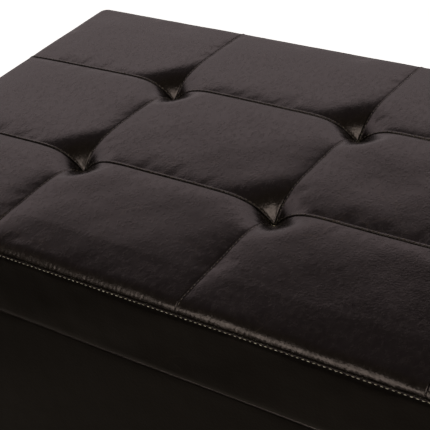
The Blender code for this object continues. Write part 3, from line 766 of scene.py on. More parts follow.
def lid_wander(run, height, side):
    seed = 20 + list(SIDE_AXIS).index(side)
    flat = run + 0 * height
    level = height + 0 * run
    drift = 0.00040 * ripple(flat, level, 0.12, seed) + 0.00014 * ripple(flat, level, 0.03, seed + 10)
    below = np.clip(BORDER_Z - level, 0, 1)
    free = np.clip((below - 0.002) / 0.006, 0, 1) * np.clip((level - LID_BOTTOM) / 0.006, 0, 1)
    return pinch(flat, below, seed) * 0.7 - drift * free


def base_wander(run, height, side):
    seed = 60 + list(SIDE_AXIS).index(side)
    flat = run + 0 * height
    level = height + 0 * run
    drift = 0.00030 * ripple(flat, level, 0.16, seed) + 0.00008 * ripple(flat, level, 0.035, seed + 10)
    free = np.clip((BASE_TOP - level) / 0.010, 0, 1) * np.clip((level - BASE_BOTTOM) / 0.010, 0, 1)
    return -drift * free


COVER_SKIN = 0.0010
BASE_RECT = (low("base_left_cover", 0), high("base_right_cover", 0),
             low("base_front_cover", 1), high("base_back_cover", 1))
BASE_CORNER = 0.009


def wrap_side(name, rect, side, radius, section, wander, body, node):
    upper = side_grid(rect, side, radius, section, wander)
    lower = upper - grid_normals(upper) * COVER_SKIN
    piece = add_piece(name, closed_sheet(name, upper, lower), PAINTED_SHADE_SIDE_LEATHER, body)
    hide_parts(node)
    return piece


LID_SECTION, BASE_SECTION = lid_section(), base_section()
for side in SIDE_AXIS:
    wrap_side(
        f"lid_side_{side}", LID_RECT, side, CORNER_RADIUS, LID_SECTION, lid_wander,
        "lid", f"lid_{side}_band",
    )
    wrap_side(
        f"base_side_{side}", BASE_RECT, side, BASE_CORNER, BASE_SECTION, base_wander,
        "base", f"base_{side}_cover",
    )
print("strips across, mm:", [round(section_length(s) * 1000) for s in (LID_SECTION, BASE_SECTION)])

# %% [markdown]
# ## Stitching
#
# Topstitch is a row of short thread loops, here about 5 mm apart, that sink at both ends
# where the needle went through. One swollen capsule, repeated along a path, is enough. The
# loops of one row are joined in one mesh, so a row is one piece to name and to move. The
# thread is spun polyester: satin, slightly fuzzy, and lighter than the leather it holds.

# %% Thread
STITCH_LENGTH = 0.0031
STITCH_RADIUS = 0.00034
STITCH_SINK = 0.00035            # how deep a stitch's ends go into the needle holes
STITCH_UNEVEN = 0.00022          # the most that a whole stitch is pulled under
STITCH_STRAY = 0.00025           # how far a stitch lies from its even place


def sewing_thread(name, dark, light):
    material, output = new_material(name)
    place = add_node(material, "ShaderNodeTexCoord").outputs["Object"]
    strands = add_node(
        material, "ShaderNodeTexNoise", {"Scale": per_metre(3.0), "Detail": 3.0}, {"Vector": place}
    )
    tone = add_node(material, "ShaderNodeMapRange", NOISE_SPAN, {"Value": strands.outputs["Fac"]})
    colour = add_node(
        material, "ShaderNodeMixRGB", {"Color1": linear(dark), "Color2": linear(light)},
        {"Fac": tone.outputs["Result"]},
    )
    ply = add_node(
        material, "ShaderNodeBump", {"Strength": 0.4, "Distance": 0.0002},
        {"Height": strands.outputs["Fac"]},
    )
    shader = add_node(
        material, "ShaderNodeBsdfPrincipled",
        {"IOR": 1.6, "Roughness": 0.34, "Sheen Weight": 0.2, "Sheen Roughness": 0.4},
        {"Base Color": colour.outputs["Color"], "Normal": ply.outputs["Normal"]},
    )
    material.node_tree.links.new(shader.outputs["BSDF"], output.inputs["Surface"])
    return material


BORDER_THREAD = sewing_thread("polyester_thread_border", "#8b8373", "#c0b8a7")
PANEL_THREAD = sewing_thread("polyester_thread_panels", "#3d352c", "#655b4d")
print("a stitch, mm long and thick:", STITCH_LENGTH * 1000, STITCH_RADIUS * 2000)


def stitch_row(name, points, normals, material, body):
    """Capsules laid along points, one per stitch, standing on the given normals."""
    rings, sides = 6, 6
    along = np.linspace(-1, 1, rings)
    girth = np.sqrt(np.clip(1 - along**2 * 0.96, 0, 1))
    turn = np.arange(sides) * 2 * math.pi / sides
    steps = np.linalg.norm(np.diff(points, axis=0), axis=1)
    travelled = np.concatenate([[0], np.cumsum(steps)])
    count = int(travelled[-1] / STITCH_PITCH)
    places = (np.arange(count) + 0.5) * travelled[-1] / count
    random = np.random.default_rng(len(points))
    places = places + random.uniform(-STITCH_STRAY, STITCH_STRAY, count)

    def at(values, distance):
        return np.stack([np.interp(distance, travelled, values[:, k]) for k in range(3)], axis=-1)

    half = STITCH_LENGTH / 2
    centre, forward = at(points, places), at(points, places + half) - at(points, places - half)
    forward /= np.linalg.norm(forward, axis=1, keepdims=True)
    up = at(normals, places)
    up -= (up * forward).sum(axis=1, keepdims=True) * forward
    up /= np.linalg.norm(up, axis=1, keepdims=True)
    side = np.cross(forward, up)
    sunk = -STITCH_SINK * along**4 - random.uniform(0.0, STITCH_UNEVEN, count)[:, None]
    rise = sunk[:, :, None] + girth[None, :, None] * STITCH_RADIUS * np.sin(turn)
    verts = (
        centre[:, None, None]
        + forward[:, None, None] * (along * half)[None, :, None, None]
        + up[:, None, None] * rise[..., None]
        + side[:, None, None] * (girth[:, None] * STITCH_RADIUS * np.cos(turn))[None, :, :, None]
    )
    block = rings * sides
    faces = []
    for ring in range(rings - 1):
        for k in range(sides):
            a, b = ring * sides + k, ring * sides + (k + 1) % sides
            faces.append((a, b, b + sides, a + sides))
    ends = [tuple(range(sides))[::-1], tuple(range(block - sides, block))]
    all_faces = [tuple(v + n * block for v in face) for n in range(count) for face in faces + ends]
    mesh = bpy.data.meshes.new(name)
    mesh.from_pydata(verts.reshape(-1, 3).tolist(), [], all_faces)
    mesh.shade_smooth()
    return add_piece(name, mesh, material, body)


# %% [markdown]
# ## Rows of stitches
#
# The border row runs on the fold of each side strip, 1.6 mm under the seam. The rows on the
# top lie 1.8 mm to one side of their seams, on the panel that covers the seam allowance, and
# follow the leather down into each tuft. Each row reads its path and its upward direction
# from the same functions that shaped the leather, so a stitch can't float or sink.

# %% Sew the rows
BORDER_STITCH_DROP = 0.0016
THREAD_LIFT = 0.00020            # the thread lies on the leather, not in it


def border_row(side):
    tilt = SEAM_TILT + BORDER_STITCH_DROP / ROLL_RADIUS
    level = np.array([
        (ROLL_RADIUS * (1 - math.sin(t)) - 0.00015, BORDER_Z - SEAM_DROP + ROLL_RADIUS * math.cos(t))
        for t in (tilt, tilt + 0.03)
    ])
    grid = side_grid(LID_RECT, side, CORNER_RADIUS, level, lambda run, height, side: 0 * (run + height))
    normals = grid_normals(grid)[0]
    return stitch_row(f"border_stitches_{side}", grid[0], normals, BORDER_THREAD, "lid")


def seam_row(name, x, y):
    step = 0.0008
    spread = np.array([-step, 0, step])[:, None]
    grid_x, grid_y = x[None, :] + spread, y[None, :] + 0 * spread
    if np.ptp(x) > np.ptp(y):
        grid_x, grid_y = x[None, :] + 0 * spread, y[None, :] + spread
    smooth = smooth_cover(grid_x, grid_y)
    normals = grid_normals(smooth)
    normals *= np.sign(normals[..., 2:3])
    points = smooth + normals * (small_relief(grid_x, grid_y) + THREAD_LIFT)[..., None]
    return stitch_row(name, points[1], normals[1], PANEL_THREAD, "lid")


for side in SIDE_AXIS:
    border_row(side)
along_y = np.arange(LID_Y[0] + SEAM_INSET + 0.001, LID_Y[1] - SEAM_INSET - 0.001, 0.001)
along_x = np.arange(LID_X[0] + SEAM_INSET + 0.001, LID_X[1] - SEAM_INSET - 0.001, 0.001)
for k, line in enumerate(SEAMS_X[1:-1], start=1):
    seam_row(f"seam_stitches_depth_{k}", np.full_like(along_y, line + SEAM_STITCH_OFFSET), along_y)
for k, line in enumerate(SEAMS_Y[1:-1], start=1):
    seam_row(f"seam_stitches_width_{k}", along_x, np.full_like(along_x, line + SEAM_STITCH_OFFSET))
print("stitch pitch, mm:", STITCH_PITCH * 1000)

# %% [markdown]
# ## Linings
#
# The inside is lined with non-woven polypropylene, the light black felt that upholsterers
# staple over raw boards. Its fibres are pressed together without weaving, in a pattern of
# small welded dots, so it is matt with a faint dotted sheen. It is cut to size and held at
# its edges, so between them it stands off the boards by a millimetre in slow waves.

# %% Non-woven lining
def non_woven(name, dark, light):
    material, output = new_material(name)
    place = add_node(material, "ShaderNodeTexCoord").outputs["Object"]
    fibres = add_node(
        material, "ShaderNodeTexNoise", {"Scale": per_metre(3.5), "Detail": 6.0, "Roughness": 0.7},
        {"Vector": place},
    )
    welds = add_node(
        material, "ShaderNodeTexVoronoi", {"Scale": per_metre(3.0), "Randomness": 0.15},
        {"Vector": place},
    )
    tone = add_node(material, "ShaderNodeMapRange", NOISE_SPAN, {"Value": fibres.outputs["Fac"]})
    colour = add_node(
        material, "ShaderNodeMixRGB", {"Color1": linear(dark), "Color2": linear(light)},
        {"Fac": tone.outputs["Result"]},
    )
    dots = add_node(
        material, "ShaderNodeMapRange",
        {"From Min": 0.15, "From Max": 0.35, "To Min": 0.0, "To Max": 1.0},
        {"Value": welds.outputs["Distance"]},
    )
    pressed = add_node(
        material, "ShaderNodeBump", {"Strength": 0.5, "Distance": 0.0004},
        {"Height": dots.outputs["Result"]},
    )
    fuzzy = add_node(
        material, "ShaderNodeBump", {"Strength": 0.4, "Distance": 0.0003},
        {"Height": fibres.outputs["Fac"], "Normal": pressed.outputs["Normal"]},
    )
    shader = add_node(
        material, "ShaderNodeBsdfPrincipled",
        {"IOR": 1.49, "Roughness": 0.85, "Sheen Weight": 0.25, "Sheen Roughness": 0.5},
        {"Base Color": colour.outputs["Color"], "Normal": fuzzy.outputs["Normal"]},
    )
    material.node_tree.links.new(shader.outputs["BSDF"], output.inputs["Surface"])
    return material


LINING = non_woven("non_woven_lining", "#1b1a1a", "#2b2a29")
DUST = non_woven("non_woven_dust_cover", "#141414", "#222222")
print("lining nodes:", len(LINING.node_tree.nodes))

# %% [markdown]
# The wall lining is one band that goes round the compartment and folds round the four corner
# posts, so its path in plan is a rectangle with notched corners. Sweeping that path upwards
# makes the whole band in one piece, as it is cut, with no seam at each fold.

# %% Hang the linings
WALL_LOW, WALL_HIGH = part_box("lining_walls")
LINING_SKIN = 0.0009
POST_FACE_X = low("corner_post_front_right", 0) - 0.0012
POST_FACE_FRONT = high("corner_post_front_left", 1) + 0.0012
POST_FACE_BACK = low("corner_post_back_left", 1) - 0.0012
FOLD_RADIUS = 0.004


def rounded_loop(corners, radius, pitch=0.006, arc_steps=4):
    """A closed path through corners with small arcs: points and outward-left normals."""
    points = []
    count = len(corners)
    for k in range(count):
        before, here, after = (np.array(corners[(k + d) % count], float) for d in (-1, 0, 1))
        come, go = here - before, after - here
        come, go = come / np.linalg.norm(come), go / np.linalg.norm(go)
        start, end = here - come * radius, here + go * radius
        for t in np.linspace(0, 1, arc_steps + 1):
            points.append((1 - t) ** 2 * start + 2 * t * (1 - t) * here + t**2 * end)
        reach = np.array(corners[(k + 1) % count], float) - go * radius
        run = np.linalg.norm(reach - end)
        for t in np.linspace(0, 1, max(int(run / pitch), 1) + 1)[1:-1]:
            points.append(end + (reach - end) * t)
    points = np.array(points)
    tangent = np.roll(points, -1, axis=0) - np.roll(points, 1, axis=0)
    tangent /= np.linalg.norm(tangent, axis=1, keepdims=True)
    return points, np.stack([-tangent[:, 1], tangent[:, 0]], axis=-1)


def looped_sheet(name, inner, outer):
    """A closed wall mesh from two grids (levels by loop points) whose columns close up."""
    levels, count = inner.shape[:2]
    index = np.arange(levels * count).reshape(levels, count)
    after = np.roll(index, -1, axis=1)
    quads = np.stack([index[:-1], index[1:], after[1:], after[:-1]], axis=-1).reshape(-1, 4)
    total = levels * count
    rims = []
    for ring, next_ring in ((index[0], after[0]), (after[-1], index[-1])):
        rims.append(np.stack([ring, next_ring, next_ring + total, ring + total], axis=-1))
    faces = np.concatenate([quads, quads[:, ::-1] + total, *rims]).tolist()
    mesh = bpy.data.meshes.new(name)
    points = np.concatenate([inner.reshape(-1, 3), outer.reshape(-1, 3)]).tolist()
    mesh.from_pydata(points, [], faces)
    mesh.shade_smooth()
    mesh.set_sharp_from_angle(angle=math.radians(60))
    return mesh


def build_wall_lining():
    x1, y0, y1 = WALL_HIGH[0], WALL_LOW[1], WALL_HIGH[1]
    px, pf, pb = POST_FACE_X, POST_FACE_FRONT, POST_FACE_BACK
    corners = [
        (-px, y0), (px, y0), (px, pf), (x1, pf), (x1, pb), (px, pb),
        (px, y1), (-px, y1), (-px, pb), (-x1, pb), (-x1, pf), (-px, pf),
    ]
    path, inward = rounded_loop(corners, FOLD_RADIUS)
    rim_levels = WALL_HIGH[2] - np.array([0.002, 0.0006, 0.0002])
    levels = np.concatenate([np.linspace(WALL_LOW[2] + 0.0011, WALL_HIGH[2] - 0.004, 40), rim_levels])
    run = np.concatenate([[0], np.cumsum(np.linalg.norm(np.diff(path, axis=0), axis=1))])
    run_grid, level_grid = np.meshgrid(run, levels)
    wave = 0.5 + 0.5 * ripple(run_grid, 0.4 * level_grid, 0.11, 81)
    held = np.clip((levels - levels[0]) / 0.03, 0, 1) * np.clip((levels[-1] - levels) / 0.03, 0, 1)
    stand = LINING_SKIN + 0.0011 * wave.clip(0, 1.3) * held[:, None]
    stand = np.maximum(stand, LINING_SKIN)

    def layer(offset):
        plan = path[None] + inward[None] * offset[..., None]
        return np.concatenate([plan, np.broadcast_to(levels[:, None, None], (*plan.shape[:2], 1))], axis=-1)

    mesh = looped_sheet("wall_lining", layer(stand), layer(stand - LINING_SKIN + 0.0001))
    piece = add_piece("wall_lining", mesh, LINING, "base")
    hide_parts("lining_walls")
    return run[-1]


print("wall lining round the compartment, mm:", round(build_wall_lining() * 1000))

# %% [markdown]
# ## Flat linings
#
# The other three linings are flat sheets cut round what stands in their corners. One
# function makes them all: a grid that leaves out its corner cells, with slow waves between
# its held edges. The floor lining runs a little way under the wall lining, as it does when
# it is pushed in first, so that no line of bare board shows between them.

# %% Lay the floor lining and close the lid and the base
def notched_sheet(name, node, rect, notch, bottom, lift, body, seed, material, downward=False):
    """A sheet with square notches at its corners, waving away from the board that holds it."""
    edges_x = np.concatenate([[rect[0]], np.linspace(rect[0] + notch, rect[1] - notch, 140), [rect[1]]])
    edges_y = np.concatenate([[rect[2]], np.linspace(rect[2] + notch, rect[3] - notch, 70), [rect[3]]])
    x, y = np.meshgrid(edges_x, edges_y)
    rows, columns = x.shape
    edge = np.minimum.reduce([x - rect[0], rect[1] - x, y - rect[2], rect[3] - y])
    wave = np.clip(0.5 + 0.5 * ripple(x, y, 0.12, seed), 0, 1.3) * np.clip(edge / 0.03, 0, 1)
    sign = -1 if downward else 1
    near = bottom + 0 * x
    far = near + sign * (LINING_SKIN + lift * wave)
    top_z, low_z = (near, far) if downward else (far, near)
    index = np.arange(rows * columns).reshape(rows, columns)
    keep = np.ones((rows - 1, columns - 1), bool)
    if notch > 0:
        keep[0, 0] = keep[0, -1] = keep[-1, 0] = keep[-1, -1] = False
    quads = np.stack([index[:-1, :-1], index[:-1, 1:], index[1:, 1:], index[1:, :-1]], axis=-1)[keep]
    total = rows * columns
    used = {}
    for quad in quads.tolist():
        for a, b in zip(quad, quad[1:] + quad[:1]):
            used[(a, b)] = True
    rim = [(b, a, a + total, b + total) for a, b in used if (b, a) not in used]
    faces = quads.tolist() + (quads[:, ::-1] + total).tolist() + rim
    upper = np.stack([x, y, top_z], axis=-1).reshape(-1, 3)
    under = np.stack([x, y, low_z], axis=-1).reshape(-1, 3)
    mesh = bpy.data.meshes.new(name)
    mesh.from_pydata(np.concatenate([upper, under]).tolist(), [], faces)
    loose = set(range(2 * total)) - {v for face in faces for v in face}
    if loose:
        work = bmesh.new()
        work.from_mesh(mesh)
        work.verts.ensure_lookup_table()
        bmesh.ops.delete(work, geom=[work.verts[v] for v in loose], context="VERTS")
        work.to_mesh(mesh)
        work.free()
    mesh.shade_smooth()
    mesh.set_sharp_from_angle(angle=math.radians(60))
    piece = add_piece(name, mesh, material, body)
    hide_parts(node)
    return piece


def node_rect(node):
    return (low(node, 0), high(node, 0), low(node, 1), high(node, 1))


def grown(rect, margin):
    return (rect[0] - margin, rect[1] + margin, rect[2] - margin, rect[3] + margin)


def cut_size(rect):
    return (rect[1] - rect[0], rect[3] - rect[2])


FLOOR_UNDERLAP, LID_UNDERLAP = 0.0006, 0.001
FLOOR_LIFT, UNDER_LIFT, DUST_LIFT = 0.0012, 0.0003, 0.0016
FLOOR_NOTCH = WALL_HIGH[0] - POST_FACE_X + 0.0002
DUST_NOTCH = high("foot_front_left", 0) - low("dust_cover", 0) + 0.0006

floor_rect = node_rect("lining_floor")
floor_lining = notched_sheet(
    "floor_lining", "lining_floor", grown(floor_rect, FLOOR_UNDERLAP),
    FLOOR_NOTCH, low("lining_floor", 2), FLOOR_LIFT, "base", 91, LINING,
)
under_rect = node_rect("lid_lining")
under_lining = notched_sheet(
    "lid_under_lining", "lid_lining", grown(under_rect, LID_UNDERLAP),
    0.0, high("lid_lining", 2), UNDER_LIFT, "lid", 92, LINING, downward=True,
)
dust_rect = node_rect("dust_cover")
dust_piece = notched_sheet(
    "dust_felt", "dust_cover", dust_rect,
    DUST_NOTCH, high("dust_cover", 2), DUST_LIFT, "base", 93, DUST, downward=True,
)
for cut in (floor_rect, under_rect, dust_rect):
    print("flat lining, mm:", [round(side * 1000) for side in cut_size(cut)])

# %% [markdown]
# At the rim the wall lining is folded in over the end of each corner post. Four small square
# caps show that fold: each is a sheet with a softly domed face, tucked under the leather.

# %% Cap the corner posts
CAP_REACH = 0.0016
CAP_SKIN = 0.0009


def cap_post(post):
    x0, x1, y0, y1 = node_rect(post)
    x, y = np.meshgrid(
        np.linspace(x0 - CAP_REACH, x1 + CAP_REACH, 14), np.linspace(y0 - CAP_REACH, y1 + CAP_REACH, 14)
    )
    span = x1 - x0 + 2 * CAP_REACH
    middle = (2 * (x - (x0 + x1) / 2) / span) ** 2, (2 * (y - (y0 + y1) / 2) / span) ** 2
    dome_z = high(post, 2) + CAP_SKIN + 0.0003 + 0.0012 * (1 - middle[0] ** 2) * (1 - middle[1] ** 2)
    upper = np.stack([x, y, dome_z], axis=-1)
    name = post.replace("corner_post", "lining_cap")
    mesh = closed_sheet(name, upper, upper - np.array([0, 0, CAP_SKIN]))
    cap = add_piece(name, mesh, LINING, "base")


for post in sorted(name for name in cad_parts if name.startswith("corner_post_")):
    cap_post(post)
    print(post, "across, mm:", [round(side * 1000, 1) for side in cut_size(node_rect(post))])

# %% [markdown]
# ## Zinc-plated steel
#
# Hinges, pins, studs and stays are cold-rolled steel with a bright electroplated skin. It is
# metallic, slightly blue, and softly streaked by the rolling, so its roughness wanders along
# the strip. The streaks are a noise pattern of 1.6 mm stretched along the width.

# %% Zinc-plated steel
def zinc_plated_steel():
    material, output = new_material("zinc_plated_steel")
    place = add_node(material, "ShaderNodeTexCoord").outputs["Object"]
    stretch = add_node(material, "ShaderNodeMapping", {"Scale": (0.15, 1.0, 1.0)}, {"Vector": place})
    streaks = add_node(
        material, "ShaderNodeTexNoise", {"Scale": per_metre(1.6), "Detail": 4.0},
        {"Vector": stretch.outputs["Vector"]},
    )
    bloom = add_node(
        material, "ShaderNodeTexNoise", {"Scale": per_metre(14), "Detail": 2.0}, {"Vector": place}
    )
    tone = add_node(material, "ShaderNodeMapRange", NOISE_SPAN, {"Value": bloom.outputs["Fac"]})
    colour = add_node(
        material, "ShaderNodeMixRGB", {"Color1": linear("#a9abaf"), "Color2": linear("#c3c4c6")},
        {"Fac": tone.outputs["Result"]},
    )
    satin = add_node(
        material, "ShaderNodeMapRange",
        {"From Min": 0.3, "From Max": 0.7, "To Min": 0.26, "To Max": 0.42}, {"Value": streaks.outputs["Fac"]},
    )
    rolled = add_node(
        material, "ShaderNodeBump", {"Strength": 0.15, "Distance": 0.0002},
        {"Height": streaks.outputs["Fac"]},
    )
    shader = add_node(
        material, "ShaderNodeBsdfPrincipled", {"Metallic": 1.0},
        {
            "Base Color": colour.outputs["Color"], "Roughness": satin.outputs["Result"],
            "Normal": rolled.outputs["Normal"],
        },
    )
    material.node_tree.links.new(shader.outputs["BSDF"], output.inputs["Surface"])
    return material


STEEL = zinc_plated_steel()
print("steel nodes:", len(STEEL.node_tree.nodes))

# %% [markdown]
# ## Softwood and chipboard
#
# Pine is sawn along its grain: long rings of early and late wood, 7 mm apart and stretched
# twelve times along the piece, under an open, dry surface. The feet are the same wood with
# a dark stain. Chipboard is pressed wood flakes in resin: mottled chips 4 mm across, each of
# its own tone, which a cell pattern gives at once.

# %% Softwood and chipboard
GRAIN_STRETCH = 0.08             # the grain is about twelve times longer than it is wide


def sawn_pine(name, dark, light, roughness, along):
    material, output = new_material(name)
    place = add_node(material, "ShaderNodeTexCoord").outputs["Object"]
    grain_scale = [1.0, 1.0, 1.0]
    grain_scale[along] = GRAIN_STRETCH
    stretch = add_node(material, "ShaderNodeMapping", {"Scale": grain_scale}, {"Vector": place})
    rings = add_node(
        material, "ShaderNodeTexNoise", {"Scale": per_metre(7), "Detail": 4.0, "Distortion": 0.6},
        {"Vector": stretch.outputs["Vector"]},
    )
    pores = add_node(
        material, "ShaderNodeTexNoise", {"Scale": per_metre(1.2), "Detail": 3.0},
        {"Vector": stretch.outputs["Vector"]},
    )
    tone = add_node(material, "ShaderNodeMapRange", NOISE_SPAN, {"Value": rings.outputs["Fac"]})
    colour = add_node(
        material, "ShaderNodeMixRGB", {"Color1": linear(dark), "Color2": linear(light)},
        {"Fac": tone.outputs["Result"]},
    )
    open_grain = add_node(
        material, "ShaderNodeBump", {"Strength": 0.3, "Distance": 0.0003},
        {"Height": pores.outputs["Fac"]},
    )
    shader = add_node(
        material, "ShaderNodeBsdfPrincipled", {"IOR": 1.5, "Roughness": roughness},
        {"Base Color": colour.outputs["Color"], "Normal": open_grain.outputs["Normal"]},
    )
    material.node_tree.links.new(shader.outputs["BSDF"], output.inputs["Surface"])
    return material


def chipboard():
    material, output = new_material("chipboard")
    place = add_node(material, "ShaderNodeTexCoord").outputs["Object"]
    chips = add_node(material, "ShaderNodeTexVoronoi", {"Scale": per_metre(4)}, {"Vector": place})
    random_tone = add_node(material, "ShaderNodeSeparateColor", links={"Color": chips.outputs["Color"]})
    tone = add_node(
        material, "ShaderNodeMapRange", {"From Min": 0.1, "From Max": 0.9},
        {"Value": random_tone.outputs["Red"]},
    )
    colour = add_node(
        material, "ShaderNodeMixRGB", {"Color1": linear("#b08c5e"), "Color2": linear("#d2b183")},
        {"Fac": tone.outputs["Result"]},
    )
    rough = add_node(
        material, "ShaderNodeBump", {"Strength": 0.4, "Distance": 0.0003},
        {"Height": chips.outputs["Distance"]},
    )
    shader = add_node(
        material, "ShaderNodeBsdfPrincipled", {"IOR": 1.5, "Roughness": 0.8},
        {"Base Color": colour.outputs["Color"], "Normal": rough.outputs["Normal"]},
    )
    material.node_tree.links.new(shader.outputs["BSDF"], output.inputs["Surface"])
    return material


PINE = sawn_pine("sawn_pine", "#b98f5b", "#dcb988", 0.7, along=2)
STAINED_PINE = sawn_pine("stained_wood_foot", "#120d0a", "#1f1611", 0.42, along=2)
CHIPBOARD = chipboard()
print("wood finishes:", [finish.name for finish in (PINE, STAINED_PINE, CHIPBOARD)])

# %% [markdown]
# ## Rubber and waxed twine
#
# The bumpers are moulded rubber, matt and slightly dusty. The ties are waxed polyester twine,
# laid from strands with a twist of about 2 mm. A banded wave set across the twine draws that
# twist, and is cheaper than modelling each strand of a piece that hardly shows.

# %% Rubber and waxed twine
def moulded_rubber():
    material, output = new_material("moulded_rubber")
    place = add_node(material, "ShaderNodeTexCoord").outputs["Object"]
    dust = add_node(
        material, "ShaderNodeTexNoise", {"Scale": per_metre(2.5), "Detail": 4.0}, {"Vector": place}
    )
    tone = add_node(material, "ShaderNodeMapRange", NOISE_SPAN, {"Value": dust.outputs["Fac"]})
    colour = add_node(
        material, "ShaderNodeMixRGB", {"Color1": linear("#161616"), "Color2": linear("#262524")},
        {"Fac": tone.outputs["Result"]},
    )
    matt = add_node(
        material, "ShaderNodeBump", {"Strength": 0.2, "Distance": 0.0002},
        {"Height": dust.outputs["Fac"]},
    )
    shader = add_node(
        material, "ShaderNodeBsdfPrincipled", {"IOR": 1.52, "Roughness": 0.7},
        {"Base Color": colour.outputs["Color"], "Normal": matt.outputs["Normal"]},
    )
    material.node_tree.links.new(shader.outputs["BSDF"], output.inputs["Surface"])
    return material


def waxed_twine():
    material, output = new_material("waxed_twine")
    place = add_node(material, "ShaderNodeTexCoord").outputs["Object"]
    lay = add_node(
        material, "ShaderNodeTexWave",
        {"bands_direction": "DIAGONAL", "Scale": per_metre(2.0) / 20, "Distortion": 1.0}, {"Vector": place},
    )
    tone = add_node(material, "ShaderNodeMapRange", NOISE_SPAN, {"Value": lay.outputs["Fac"]})
    colour = add_node(
        material, "ShaderNodeMixRGB", {"Color1": linear("#6f675a"), "Color2": linear("#a79c88")},
        {"Fac": tone.outputs["Result"]},
    )
    twist = add_node(
        material, "ShaderNodeBump", {"Strength": 0.5, "Distance": 0.0003},
        {"Height": lay.outputs["Fac"]},
    )
    shader = add_node(
        material, "ShaderNodeBsdfPrincipled", {"IOR": 1.5, "Roughness": 0.55},
        {"Base Color": colour.outputs["Color"], "Normal": twist.outputs["Normal"]},
    )
    material.node_tree.links.new(shader.outputs["BSDF"], output.inputs["Surface"])
    return material


RUBBER, TWINE = moulded_rubber(), waxed_twine()
print("small finishes:", RUBBER.name, TWINE.name)

# %% [markdown]
# ## Dressing the solid pieces
#
# Hardware, boards, posts and feet keep the solid model's shape. A Bevel modifier breaks
# their edges by a fraction of a millimetre, because no real edge is perfectly sharp and a
# small bevel catches a line of light. A piece's finish follows from the start of its name.

# %% Dress the solid pieces
FINISHES = {
    "hinge_": STEEL,
    "stay_": STEEL,
    "corner_post_": PINE,
    "foot_": STAINED_PINE,
    "bumper_": RUBBER,
    "tuft_tie_": TWINE,
    "base_": CHIPBOARD,
    "lid_board": CHIPBOARD,
}
EDGE_BREAK = {"foot_": 0.0015, "corner_post_": 0.0008, "base_": 0.0008, "lid_board": 0.0008}
SMALL_BREAK = 0.0003             # for steel and rubber
dressed = 0
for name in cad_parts:
    node = bpy.data.objects[name]
    if node.hide_render:
        continue
    family = next(prefix for prefix in FINISHES if name.startswith(prefix))
    node.data.materials.clear()
    node.data.materials.append(FINISHES[family])
    bevel = node.modifiers.new("edge_break", "BEVEL")
    bevel.width = EDGE_BREAK.get(family, SMALL_BREAK)
    bevel.segments = 2
    bevel.limit_method = "ANGLE"
    bevel.angle_limit = math.radians(40)
    dressed += 1
print("solid pieces dressed:", dressed)

# %% [markdown]
# ## Countersunk screws
#
# Each hinge leaf is held by three countersunk screws with a cross recess. Their heads sit in
# the plate, so only a shallow disc stands above it, low enough for the leaves to close. A
# polar grid makes the disc: its rings follow a flat dome, and the points inside the cross
# are pushed down. The heads of one leaf are joined in one piece.

# %% Screw heads
SCREW_RADIUS = 0.0028
SCREW_PROUD = 0.00018
SCREW_SLOT = 0.0005
SCREW_SPACING = 0.026
SCREW_SUNK = 0.0003              # how far a head's rim goes into its leaf
CROSS_DEPTH = 0.00013
CROSS_REACH = 0.62               # share of the head that the cross spans
SCREW_PLACE = 0.45               # how far back along a leaf the screws stand
LEAF_CLEAR = 0.0003
HINGE_LEVEL = (high("hinge_left_pin", 2) + low("hinge_left_pin", 2)) / 2
RINGS = np.array([0.15, 0.3, 0.45, 0.6, 0.75, 0.9, 1.0])
SPOKES = 32


def screw_heads(leaf, body, up):
    x0, x1, y0, _ = node_rect(leaf)
    middle_y = y0 + (LID_Y[1] - y0) * SCREW_PLACE
    level = HINGE_LEVEL - up * LEAF_CLEAR
    turn = np.arange(SPOKES) * 2 * math.pi / SPOKES
    plan_x = SCREW_RADIUS * RINGS[:, None] * np.cos(turn)
    plan_y = SCREW_RADIUS * RINGS[:, None] * np.sin(turn)
    across = np.minimum(np.abs(plan_x), np.abs(plan_y))
    reach = np.maximum(np.abs(plan_x), np.abs(plan_y))
    sunk = (across < SCREW_SLOT) & (reach < SCREW_RADIUS * CROSS_REACH)
    rise = SCREW_PROUD * (1 - RINGS[:, None] ** 4) - CROSS_DEPTH * sunk
    points, faces = [], []
    for centre in ((x0 + x1) / 2 + SCREW_SPACING * np.array([-1, 0, 1])):
        start = len(points)
        points.append((centre, middle_y, level + up * (SCREW_PROUD - CROSS_DEPTH)))
        for ring in range(len(RINGS)):
            points += [
                (centre + plan_x[ring, k], middle_y + plan_y[ring, k], level + up * rise[ring, k])
                for k in range(SPOKES)
            ]
        points += [
            (centre + plan_x[-1, k], middle_y + plan_y[-1, k], level - up * SCREW_SUNK)
            for k in range(SPOKES)
        ]
        for k in range(SPOKES):
            after = (k + 1) % SPOKES
            faces.append((start, start + 1 + k, start + 1 + after))
            for ring in range(len(RINGS)):
                a, b = start + 1 + ring * SPOKES + k, start + 1 + ring * SPOKES + after
                faces.append((a, a + SPOKES, b + SPOKES, b))
        last = start + 1 + len(RINGS) * SPOKES
        faces.append(tuple(range(last, last + SPOKES))[::-1])
    if up < 0:
        faces = [face[::-1] for face in faces]
    name = f"{leaf}_screws"
    mesh = bpy.data.meshes.new(name)
    mesh.from_pydata([tuple(map(float, point)) for point in points], [], faces)
    mesh.shade_smooth()
    mesh.set_sharp_from_angle(angle=math.radians(40))
    return add_piece(name, mesh, STEEL, body)


for side_name in (LEFT, RIGHT):
    screw_heads(f"hinge_{side_name}_base_leaf", "base", 1)
    screw_heads(f"hinge_{side_name}_lid_leaf", "lid", -1)
print("hinge screws:", 4 * 3)

# %% [markdown]
# ## Floor and backdrop
#
# A pale painted floor and a round wall of the same finish stand behind the object. They glow
# a little, so that they stay pale all over. The leather doesn't mirror them: its reflections
# come only from the surround and the lamps, which are set in the next cells.

# %% Stage
FLOOR_SIZE = 12.0
WALL_HEIGHT = 8


